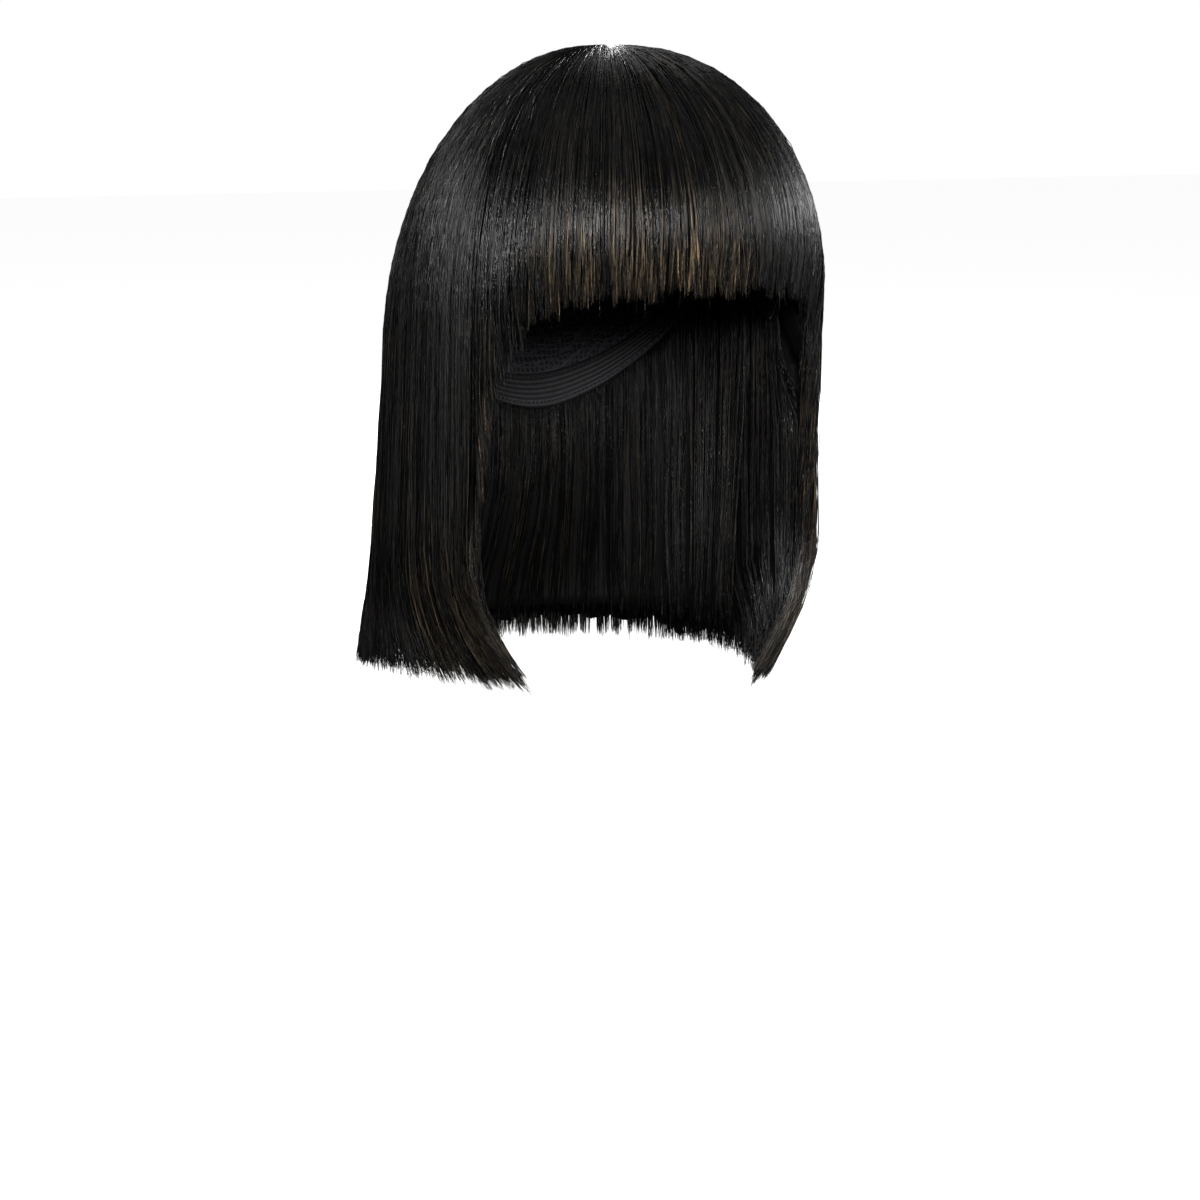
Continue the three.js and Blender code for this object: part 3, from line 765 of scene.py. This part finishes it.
# The inputs of the tree that lays sewn rows round the cap, and what it keeps on the way
ROW_INPUTS = {
    "Rows": "NodeSocketInt",
    "Points": "NodeSocketInt",
    "First": "NodeSocketFloat",
    "Last": "NodeSocketFloat",
    "Waver": "NodeSocketFloat",
    "Cord Radius": "NodeSocketFloat",
    "Material": "NodeSocketMaterial",
}
ROW_PASSING = ("number", "row", "along", "around")


def row_tree():
    """Geometry Nodes that lay cords across a sheet, from its first column to its last."""
    tree, given, kept = new_tree("rows across a sheet", ROW_INPUTS, ROW_PASSING)
    add = partial(add_node, tree)

    # One point a row, then a line of points for each
    index = add("GeometryNodeInputIndex")
    last = add(MATH, (given["Rows"], 1.0), operation="SUBTRACT")
    share = add(MATH, (index, add(MATH, (1.0, last), operation="MAXIMUM")), operation="DIVIDE")
    reach = add(MATH, (given["Last"], given["First"]), operation="SUBTRACT")
    row = add(MATH, (share, reach, given["First"]), operation="MULTIPLY_ADD")
    cords = add("GeometryNodePoints", {"Count": given["Rows"]})
    cords = add(STORE, {"Geometry": cords, "Name": "number", "Value": index}, **ON_POINTS)
    cords = add(STORE, {"Geometry": cords, "Name": "row", "Value": row}, **ON_POINTS)
    cords = lines_from(tree, cords, given["Points"])
    along = add("GeometryNodeSplineParameter")
    cords = add(STORE, {"Geometry": cords, "Name": "along", "Value": along}, **ON_POINTS)

    # Each point goes to its place on the sheet, a little off its row as hand-guided sewing is
    waves = add(MATH, (kept["along"], 9.0), operation="MULTIPLY")
    spot = add("ShaderNodeCombineXYZ", (waves, kept["number"]))
    noise = add("ShaderNodeTexNoise", {"Vector": spot, "Scale": 1.0, "Detail": 1.0})
    noise = add(MATH, (noise, 0.5), operation="SUBTRACT")
    level = add(MATH, (noise, given["Waver"], kept["row"]), operation="MULTIPLY_ADD")
    position = add("GeometryNodeInputPosition")
    target = on_sheet(tree, given, position, kept["along"], level, "FLOAT_VECTOR")
    cords = add("GeometryNodeSetPosition", {"Geometry": cords, "Position": target})

    cords = tubes_round(tree, cords, 4, given["Cord Radius"], kept["number"], 1.0, given["Rows"])
    finish_tree(tree, given, cords, ROW_PASSING)
    return tree


# The inputs of the tree that lays strands along a sheet, and what it keeps on the way. It also leaves the
# attribute tone, and one for the painted glow of light coming through the thin tips, for the hair's material.
STRAND_INPUTS = {
    "Strands": "NodeSocketInt",
    "Points": "NodeSocketInt",
    "Seed": "NodeSocketInt",
    "Locks": "NodeSocketInt",
    "Clumps": "NodeSocketInt",
    "Lock Pull": "NodeSocketFloat",
    "Clump Pull": "NodeSocketFloat",
    "First Root": "NodeSocketFloat",
    "Root Spread": "NodeSocketFloat",
    "Crown Share": "NodeSocketFloat",
    "Depth": "NodeSocketFloat",
    "Root Depth": "NodeSocketFloat",
    "Width": "NodeSocketFloat",
    "Length": "NodeSocketFloat",
    "Ragged": "NodeSocketFloat",
    "Wave": "NodeSocketFloat",
    "Lean": "NodeSocketFloat",
    "Strand Radius": "NodeSocketFloat",
    "Free Edge": "NodeSocketFloat",
    "Edge Depth": "NodeSocketFloat",
    "Thinning": "NodeSocketFloat",
    "Thin Middle": "NodeSocketFloat",
    "Thin Reach": "NodeSocketFloat",
    "Material": "NodeSocketMaterial",
}
STRAND_PASSING = ("strand", "across", "lock", "clump", "start", "end", "cut", "depth", "at_edge", "stray",
                  "along", "around", "down")

# What chance gives the strands: what is added to the seed, the lowest and the highest value, and whether
# each strand, clump or lock has its own
CHANCES = {
    "place": (1, 0.0, 1.0, "strand"),
    "crown": (2, 0.0, 1.0, "strand"),
    "late": (3, 0.01, 1.0, "strand"),
    "shorter": (4, 0.0, 1.0, "strand"),
    "clump end": (5, -0.7, 0.7, "clump"),
    "depth": (6, 0.0, 1.0, "strand"),
    "tone": (7, 0.0, 1.0, "strand"),
    "lock middle": (8, 0.25, 0.75, "lock"),
    "clump middle": (9, 0.2, 0.8, "clump"),
    "stray": (10, 0.0, 1.0, "strand"),
    "clump lean": (11, -1.0, 1.0, "clump"),
    "strand lean": (12, -0.8, 0.8, "strand"),
    "closer": (13, -0.02, 0.11, "strand"),
}

# The slight waves of the hair: whose they are, how unlike neighbours are, bends a metre, and height
WAVES = {
    "lock aside": ("lock", 3.17, 9.0, 1.6),
    "clump aside": ("clump", 1.73, 22.0, 1.0),
    "strand aside": ("strand", 0.713, 45.0, 0.6),
    "clump inward": ("clump", 2.31, 20.0, 0.0008),
    "strand inward": ("strand", 0.527, 42.0, 0.0011),
    "loose": ("strand", 0.391, 16.0, 1.0),
}
LOCK_ROUNDING = 0.0024  # how deep the hollow between two locks would be if each reached the next
CLUMP_ROUNDING = 0.002
LOOSE = 0.0025  # how far in or out loose tips stray
STRAY_MORE = 0.0045  # how much further the stray ones do


def strand_tree():
    """Geometry Nodes that lay strands along a sheet from its roots to its tips. Most strands start under
    the others on their way down, as sewn rows of hair do. Towards their tips they gather into thin clumps,
    and clumps into locks, and they taper."""
    tree, given, kept = new_tree("strands along a sheet", STRAND_INPUTS, STRAND_PASSING)
    add = partial(add_node, tree)
    chance = {}
    for name, (salt, lowest, highest, whose) in CHANCES.items():
        seed = add(MATH, (given["Seed"], salt), operation="ADD")
        drawn = add("FunctionNodeRandomValue", {2: lowest, 3: highest, 7: kept[whose], 8: seed},
                    data_type="FLOAT")
        chance[name] = drawn.outputs[1]

    # One point for each strand, with what is settled for the whole strand: its place across the sheet,
    # its lock and clump, and where it starts and ends
    across = add(MATH, (kept["strand"], chance["place"]), operation="ADD")
    across = add(MATH, (across, given["Strands"]), operation="DIVIDE")
    lock = add(MATH, (add(MATH, (across, given["Locks"]), operation="MULTIPLY"),), operation="FLOOR")
    clump = add(MATH, (add(MATH, (across, given["Clumps"]), operation="MULTIPLY"),), operation="FLOOR")
    at_crown = add(MATH, (chance["crown"], given["Crown Share"]), operation="LESS_THAN")
    elsewhere = add(MATH, (1.0, at_crown), operation="SUBTRACT")
    cut = on_sheet(tree, given, kept["cut"], across, 0.5, "FLOAT")
    late = add(MATH, (chance["late"], given["Root Spread"]), operation="MULTIPLY")
    start = add(MATH, (late, elsewhere, given["First Root"]), operation="MULTIPLY_ADD")
    start = add(MATH, (start, cut), operation="MULTIPLY")
    shorter = add(MATH, (chance["shorter"], 2.0), operation="POWER")
    uneven = add(MATH, (shorter, -2.4, 1.0), operation="MULTIPLY_ADD")
    uneven = add(MATH, (uneven, chance["clump end"]), operation="ADD")
    stray = add(MATH, (chance["stray"], 0.985), operation="GREATER_THAN")
    uneven = add(MATH, (stray, 1.6, uneven), operation="MULTIPLY_ADD")
    off_edge = add(MATH, (across, given["Free Edge"]), operation="SUBTRACT")
    off_edge = add(MATH, (off_edge,), operation="ABSOLUTE")
    at_edge = add("ShaderNodeMapRange", (off_edge, 0.0, 0.1, 1.0, 0.0), **STEP)
    uneven = add(MATH, (at_edge, -1.6, uneven), operation="MULTIPLY_ADD")
    ragged = add(MATH, (given["Ragged"], given["Length"]), operation="DIVIDE")
    end = add(MATH, (uneven, ragged, cut), operation="MULTIPLY_ADD")
    end = add(MATH, (end, 0.998), operation="MINIMUM")
    shallower = add(MATH, (at_crown, -0.5, 1.0), operation="MULTIPLY_ADD")
    depth = add(MATH, (chance["depth"], shallower), operation="MULTIPLY")
    strands = add("GeometryNodePoints", {"Count": given["Strands"]})
    settled = {"strand": add("GeometryNodeInputIndex"), "across": across, "lock": lock, "clump": clump,
               "start": start, "end": end, "cut": cut, "depth": depth, "tone": chance["tone"],
               "at_edge": at_edge, "stray": stray}
    for name, value in settled.items():
        strands = add(STORE, {"Geometry": strands, "Name": name, "Value": value}, **ON_POINTS)

    # A line of points for each, mostly closer together at both ends, with how far along it each point lies
    strands = lines_from(tree, strands, given["Points"])
    factor = add("GeometryNodeSplineParameter")
    closer = add(MATH, (factor, 2 * math.pi), operation="MULTIPLY")
    closer = add(MATH, (closer,), operation="SINE")
    closer = add(MATH, (closer, chance["closer"]), operation="MULTIPLY")
    along = add(MATH, (factor, closer), operation="SUBTRACT")
    span = add(MATH, (kept["end"], kept["start"]), operation="SUBTRACT")
    down = add(MATH, (kept["along"], span, kept["start"]), operation="MULTIPLY_ADD")
    share = add(MATH, (kept["down"], kept["cut"]), operation="DIVIDE")
    metres = add(MATH, (kept["down"], given["Length"]), operation="MULTIPLY")
    # Where the hair's material paints a golden glow of light coming through the thin tips: on each strand's
    # last stretch, strongest near a middle across the sheet
    off_middle = add(MATH, (kept["across"], given["Thin Middle"]), operation="SUBTRACT")
    off_middle = add(MATH, (off_middle, given["Thin Reach"]), operation="DIVIDE")
    off_middle = add(MATH, (off_middle,), operation="ABSOLUTE")
    thin = add("ShaderNodeMapRange", (off_middle, 0.45, 1.0, 1.0, 0.0), **STEP)
    at_tips = add("ShaderNodeMapRange", (share, 0.7, 0.97), **STEP)
    thin = add(MATH, (at_tips, thin), operation="MULTIPLY")
    thin = add(MATH, (given["Thinning"], thin), operation="MULTIPLY")
    for name, value in {"along": along, "down": down, "thin": thin}.items():
        strands = add(STORE, {"Geometry": strands, "Name": name, "Value": value}, **ON_POINTS)

    wave = {}
    for name, (whose, spread, bends, height) in WAVES.items():
        x = add(MATH, (kept[whose], spread), operation="MULTIPLY")
        y = add(MATH, (metres, bends), operation="MULTIPLY")
        spot = add("ShaderNodeCombineXYZ", (x, y, given["Seed"]))
        noise = add("ShaderNodeTexNoise", {"Vector": spot, "Scale": 1.0, "Detail": 1.0})
        wave[name] = add(MATH, (noise, 2 * height, -height), operation="MULTIPLY_ADD")

    # Across the sheet: into the lock and the clump, with the slight waves of each and tips that lean
    lock_pull = add("ShaderNodeMapRange", (share, 0.08, 0.75), **STEP)
    lock_pull = add(MATH, (given["Lock Pull"], lock_pull), operation="MULTIPLY")
    gathered = add("ShaderNodeMapRange", (share, 0.2, 0.95), **STEP)
    gathered_late = add("ShaderNodeMapRange", (share, 0.88, 1.0), **STEP)
    gathered = add(MATH, (gathered, gathered_late), operation="ADD")
    gathered = add(MATH, (gathered, 0.5), operation="MULTIPLY")
    clump_pull = add(MATH, (given["Clump Pull"], gathered), operation="MULTIPLY")
    lock_middle = add(MATH, (kept["lock"], chance["lock middle"]), operation="ADD")
    lock_middle = add(MATH, (lock_middle, given["Locks"]), operation="DIVIDE")
    clump_middle = add(MATH, (kept["clump"], chance["clump middle"]), operation="ADD")
    clump_middle = add(MATH, (clump_middle, given["Clumps"]), operation="DIVIDE")
    in_lock = add("ShaderNodeMix", {0: lock_pull, 2: kept["across"], 3: lock_middle}, data_type="FLOAT")
    clump_middle = add("ShaderNodeMix", {0: lock_pull, 2: clump_middle, 3: lock_middle}, data_type="FLOAT")
    in_clump = add("ShaderNodeMix", {0: clump_pull, 2: in_lock, 3: clump_middle}, data_type="FLOAT")
    sway = add(MATH, (wave["lock aside"], wave["clump aside"]), operation="ADD")
    sway = add(MATH, (sway, wave["strand aside"]), operation="ADD")
    leaning = add(MATH, (chance["clump lean"], chance["strand lean"]), operation="ADD")
    leaning = add(MATH, (leaning, given["Lean"]), operation="MULTIPLY")
    last_stretch = add("ShaderNodeMapRange", (share, 0.84, 1.06), **STEP)
    leaning = add(MATH, (leaning, last_stretch), operation="MULTIPLY")
    aside = add(MATH, (sway, given["Wave"], leaning), operation="MULTIPLY_ADD")
    aside = add(MATH, (aside, given["Width"]), operation="DIVIDE")
    placed = add("ShaderNodeClamp", (add(MATH, (in_clump, aside), operation="ADD"), 0.003, 0.997))

    # Into the sheet: rounded locks and clumps, and starts that lie under other strands
    off_lock = add(MATH, (in_clump, lock_middle), operation="SUBTRACT")
    off_lock = add(MATH, (off_lock, given["Locks"]), operation="MULTIPLY")
    off_lock = add(MATH, (off_lock, off_lock), operation="MULTIPLY")
    off_clump = add(MATH, (in_lock, clump_middle), operation="SUBTRACT")
    off_clump = add(MATH, (off_clump, given["Clumps"]), operation="MULTIPLY")
    off_clump = add(MATH, (off_clump, off_clump), operation="MULTIPLY")
    rounded = add(MATH, (off_lock, LOCK_ROUNDING), operation="MULTIPLY")
    rounded = add(MATH, (off_clump, CLUMP_ROUNDING, rounded), operation="MULTIPLY_ADD")
    past_crown = add("ShaderNodeMapRange", (share, 0.05, 0.5), **STEP)
    rounded = add(MATH, (rounded, past_crown), operation="MULTIPLY")
    lying = add(MATH, (kept["at_edge"], given["Edge Depth"], given["Depth"]), operation="MULTIPLY_ADD")
    lying = add(MATH, (kept["depth"], lying, wave["clump inward"]), operation="MULTIPLY_ADD")
    lying = add(MATH, (lying, wave["strand inward"]), operation="ADD")
    past_root = add("ShaderNodeMapRange", (kept["down"], -0.02, 0.15), **STEP)
    lying = add(MATH, (lying, past_root), operation="MULTIPLY")
    is_late = add(MATH, (kept["start"], 0.005), operation="GREATER_THAN")
    from_start = add(MATH, (kept["down"], kept["start"]), operation="SUBTRACT")
    covered = add("ShaderNodeMapRange", (from_start, 0.0, 0.16, 1.0, 0.0), **STEP)
    covered = add(MATH, (covered, is_late), operation="MULTIPLY")
    covered = add(MATH, (covered, given["Root Depth"]), operation="MULTIPLY")
    off_whorl = add("ShaderNodeMapRange", (kept["down"], 0.0, 0.12), **STEP)
    inward = add(MATH, (covered, off_whorl, rounded), operation="MULTIPLY_ADD")
    inward = add(MATH, (inward, lying), operation="ADD")
    loosened = add("ShaderNodeMapRange", (share, 0.7, 1.0), **STEP)
    loosened = add(MATH, (wave["loose"], loosened), operation="MULTIPLY")
    loose = add(MATH, (kept["stray"], STRAY_MORE, LOOSE), operation="MULTIPLY_ADD")
    inward = add(MATH, (loosened, loose, inward), operation="MULTIPLY_ADD")
    surface = add("GeometryNodeInputPosition")
    surface = on_sheet(tree, given, surface, placed, kept["down"], "FLOAT_VECTOR")
    outward = add("GeometryNodeInputNormal")
    outward = on_sheet(tree, given, outward, placed, kept["down"], "FLOAT_VECTOR")
    shift = add("ShaderNodeVectorMath", {0: outward, "Scale": inward}, operation="SCALE")
    position = add("ShaderNodeVectorMath", (surface, shift), operation="SUBTRACT")
    strands = add("GeometryNodeSetPosition", {"Geometry": strands, "Position": position})

    # A thin three-sided tube round each, thinner at its root and its tip
    tapered = add("ShaderNodeMapRange", (kept["along"], 0.84, 1.0, 1.0, 0.2))
    rooted = add("ShaderNodeMapRange", (kept["along"], 0.0, 0.075, 0.4, 1.0))
    radius = add(MATH, (tapered, rooted), operation="MULTIPLY")
    radius = add(MATH, (radius, given["Strand Radius"]), operation="MULTIPLY")
    tubes = tubes_round(tree, strands, 3, radius, kept["strand"], 1.2, given["Strands"])
    finish_tree(tree, given, tubes, STRAND_PASSING)
    return tree


def grown(name, base, tree, **inputs):
    """The plain mesh piece that a tree of Geometry Nodes makes from a base object, which it replaces."""
    modifier = base.modifiers.new("nodes", "NODES")
    modifier.node_group = tree
    for item in tree.interface.items_tree:
        label = item.name.replace(" ", "_").lower()
        if item.in_out == "INPUT" and label in inputs:
            modifier[item.identifier] = inputs[label]
    bpy.context.view_layer.update()
    depsgraph = bpy.context.evaluated_depsgraph_get()
    made = base.evaluated_get(depsgraph)
    mesh = bpy.data.meshes.new_from_object(made, preserve_all_data_layers=True, depsgraph=depsgraph)
    bpy.data.objects.remove(base)
    mesh.name = name
    return new_piece(name, mesh)


def settle(piece, node):
    """Puts a finished piece on the root body and hides the CAD node that it stands for."""
    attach(piece, "root")
    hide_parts(node)


def add_hair(tree, material):
    """The loose strands of each section, and short strands that fill its tips from outside to inside."""
    # The last three values of shared, and their changes for the sides and the fringe, set the painted glow of
    # light coming through the tips: how strong it is, and its middle and reach across the sheet
    shared = {"material": material, "points": 16, "lock_pull": 0.08, "clump_pull": 0.45, "first_root": 0.0,
              "root_spread": 0.45, "crown_share": 0.22, "depth": 0.0032, "root_depth": 0.0022,
              "ragged": 0.0035, "wave": 0.0016, "lean": 0.001, "strand_radius": 0.00022, "free_edge": -1.0,
              "edge_depth": 0.0, "thinning": 0.12, "thin_middle": 0.5, "thin_reach": 1.0}
    tips = {"points": 4, "first_root": 0.875, "root_spread": 0.06, "crown_share": 0.0, "depth": 0.0075,
            "root_depth": 0.0, "ragged": 0.0035, "clump_pull": 0.2, "lean": 0.0016, "edge_depth": 0.0}
    fringe_tips = {**tips, "first_root": 0.84, "depth": 0.004, "points": 5, "ragged": 0.005}
    side = {"locks": 8, "clumps": 60, "clump_pull": 0.52, "edge_depth": 0.007, "thinning": 0.4,
            "thin_reach": 0.5}
    back = {"locks": 7, "clumps": 54}
    sections = [
        ("fringe", "fringe", -FRINGE_EDGE, FRINGE_EDGE, 2200, 900, fringe_tips,
         {"seed": 11, "points": 14, "locks": 16, "clumps": 110, "clump_pull": 0.6, "ragged": 0.0045,
          "wave": 0.0014, "lean": 0.002, "thinning": 1.0, "thin_middle": 0.34, "thin_reach": 0.3}),
        ("left_side", "left_side_hair", FRINGE_EDGE, BACK_EDGE, 1400, 1300, tips,
         {**side, "seed": 23, "free_edge": 0.12, "thin_middle": 0.1}),
        ("right_side", "right_side_hair", -BACK_EDGE, -FRINGE_EDGE, 1400, 1300, tips,
         {**side, "seed": 37, "free_edge": 0.88, "thin_middle": 0.9}),
        ("back_left", "back_hair", BACK_EDGE, 180, 1250, 1100, tips, {**back, "seed": 41}),
        ("back_right", "back_hair", 180, 360 - BACK_EDGE, 1250, 1100, tips, {**back, "seed": 53}),
    ]
    for name, node, start, end, count, tip_count, own_tips, own in sections:
        azimuths = columns_between(start - OVERLAP, end + OVERLAP)
        for part, number, special in (("_strands", count, {}), ("_tips", tip_count, own_tips)):
            sheet, width, length = guide_sheet(name, azimuths, outer_line)
            values = {**shared, **own, **special, "strands": number, "width": width, "length": length}
            settle(grown(name + part, sheet, tree, **values), node)


def add_packed_hair(packed):
    """Shells of packed hair under the strands. They end short of the tips and of the curtains' free edges
    below the fringe's corners, which stay loose."""
    ragged = np.random.default_rng(5)
    thinned = END_THINNED * ease((np.linspace(0, 1, PACKED_ROWS) - 0.9) / 0.1)[:, None]
    for name, node, start, end in [("fringe_underneath", "fringe", -FRINGE_EDGE, FRINGE_EDGE),
                                   ("left_side_underneath", "left_side_hair", FRINGE_EDGE, BACK_EDGE),
                                   ("right_side_underneath", "right_side_hair", -BACK_EDGE, -FRINGE_EDGE),
                                   ("back_underneath", "back_hair", BACK_EDGE, 360 - BACK_EDGE)]:
        outside, inside = [], []
        for number, azimuth in enumerate(columns_between(start, end)):
            short = (FRINGE_LOOSE if node == "fringe" else BOB_LOOSE) + LOOSE_SPREAD * ragged.random()
            beside_edge = 1 - ease((folded(azimuth) - FACE_EDGE) / LOOSE_EDGE)
            short += beside_edge * max(0, CORNER_LEVEL - form_of(azimuth)["cut"])
            line = even_steps(outer_line(azimuth, PATCH_RADIUS, -short), PACKED_ROWS)
            distance = np.hypot(line[:, 0] - CROWN[0], line[:, 1] - CROWN[1])
            depth = PACKED_DEPTH * (0.4 + 0.6 * ease(distance / 0.04))
            depth += GROOVE_DEPTH * (number % 2) * ease(distance / 0.05)
            outer = moved_in(line, azimuth, depth)
            inner = even_steps(inner_line(azimuth, 0.001, -short), PACKED_ROWS)
            outside.append(outer + (inner - outer) * thinned)
            inside.append(inner + (outer - inner) * thinned)
        settle(shell_from(name, outside, inside, packed), node)


def add_inner_hair(tree, material, packed):
    """The hair that shows from inside: the curtains' and the fringe's inner faces, and the under layer."""
    shared = {"material": material, "points": 9, "lock_pull": 0.15, "clump_pull": 0.45, "first_root": 0.0,
              "root_spread": 0.05, "crown_share": 0.3, "depth": 0.002, "root_depth": 0.0, "ragged": 0.004,
              "wave": 0.0014, "lean": 0.001, "strand_radius": 0.00026, "free_edge": -1.0, "edge_depth": 0.0,
              "thinning": 0.0, "thin_middle": 0.5, "thin_reach": 1.0}
    faces = [
        ("fringe_inner_strands", "fringe", -FRINGE_EDGE, FRINGE_EDGE,
         {"seed": 61, "strands": 320, "points": 6, "locks": 12, "clumps": 60}),
        ("left_inner_strands", "left_side_hair", INNER_EDGE, BACK_EDGE,
         {"seed": 67, "strands": 600, "locks": 7, "clumps": 34}),
        ("right_inner_strands", "right_side_hair", -BACK_EDGE, -INNER_EDGE,
         {"seed": 71, "strands": 480, "locks": 7, "clumps": 34}),
    ]
    for name, node, start, end, own in faces:
        azimuths = columns_between(start, end)[::-1]
        sheet, width, length = guide_sheet(name, azimuths, inner_line, below_cap=True)
        piece = grown(name, sheet, tree, **{**shared, **own, "width": width, "length": length})
        settle(piece, node)

    azimuths = columns_between(UNDER_EDGE, 360 - UNDER_EDGE, 3)
    sheet = sheet_from("under", [under_line(azimuth, 30, False) for azimuth in azimuths[::-1]])
    own = {"seed": 83, "strands": 1300, "points": 8, "locks": 16, "clumps": 110, "width": 0.22,
           "length": 0.14}
    settle(grown("under_strands", sheet, tree, **{**shared, **own}), "under_hair")
    azimuths = azimuths[2:-2]
    outside = [under_line(azimuth, 24, True, 0.95) for azimuth in azimuths]
    inside = [moved_in(under_line(azimuth, 24, False, 0.95), azimuth, -0.0012) for azimuth in azimuths]
    settle(shell_from("under_underneath", outside, inside, packed), "under_hair")


def add_cap():
    """The cap: a net with rows of sewn hair roots, an elastic band round its rim with two seams, and the
    small patch under the whorl."""
    azimuths = columns_between(-180, 180, 3)
    net_inside = CAP_WALL - NET_THICKNESS
    net = shell_from("net_cap", [cap_line(azimuth, 40, CAP_WALL) for azimuth in azimuths],
                     [cap_line(azimuth, 40, net_inside) for azimuth in azimuths], net_material(), True)
    band_outside = [cap_line(azimuth, 6, net_inside - 0.0001, BAND_START) for azimuth in azimuths]
    band_inside = [cap_line(azimuth, 6, CLOTH_GAP, BAND_START) for azimuth in azimuths]
    band = shell_from("rim_band", band_outside, band_inside, band_material(), True)
    low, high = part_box("crown_patch")
    radius = (high.x - low.x) / 2
    reaches = np.linspace(0, radius, 6)
    top, bottom = [], []
    for azimuth in columns_between(-180, 180, 12):
        x = CROWN[0] + direction_of(azimuth)[0] * reaches
        y = CROWN[1] + direction_of(azimuth)[1] * reaches
        level = cap_level(x, y, CAP_WALL + PATCH_GAP)
        top.append(np.stack([x, y, level + PATCH_THICKNESS * (1 - 0.5 * (reaches / radius) ** 4)], axis=1))
        bottom.append(np.stack([x, y, level], axis=1))
    patch = shell_from("whorl_patch", top, bottom, net_material(), True)
    rows = row_tree()
    sewn = {"points": 96, "material": binding_material()}
    sheet = sheet_from("rows", [cap_line(azimuth, 50, net_inside) for azimuth in azimuths])
    wefts = grown("sewn_rows", sheet, rows, **sewn, rows=15, first=0.1, last=0.89, waver=0.006,
                  cord_radius=0.0006)
    sheet = sheet_from("seams", [cap_line(azimuth, 50, CLOTH_GAP) for azimuth in azimuths])
    seams = grown("band_seams", sheet, rows, **sewn, rows=2, first=0.928, last=0.988, waver=0.0,
                  cord_radius=0.0004)
    for piece in (net, band, wefts, seams):
        settle(piece, "cap")
    settle(patch, "crown_patch")


add_camera()
add_studio()
loose_hair = hair_material()
packed_hair = packed_hair_material()
strands_along = strand_tree()
add_hair(strands_along, loose_hair)
add_packed_hair(packed_hair)
add_inner_hair(strands_along, loose_hair, packed_hair)
add_cap()
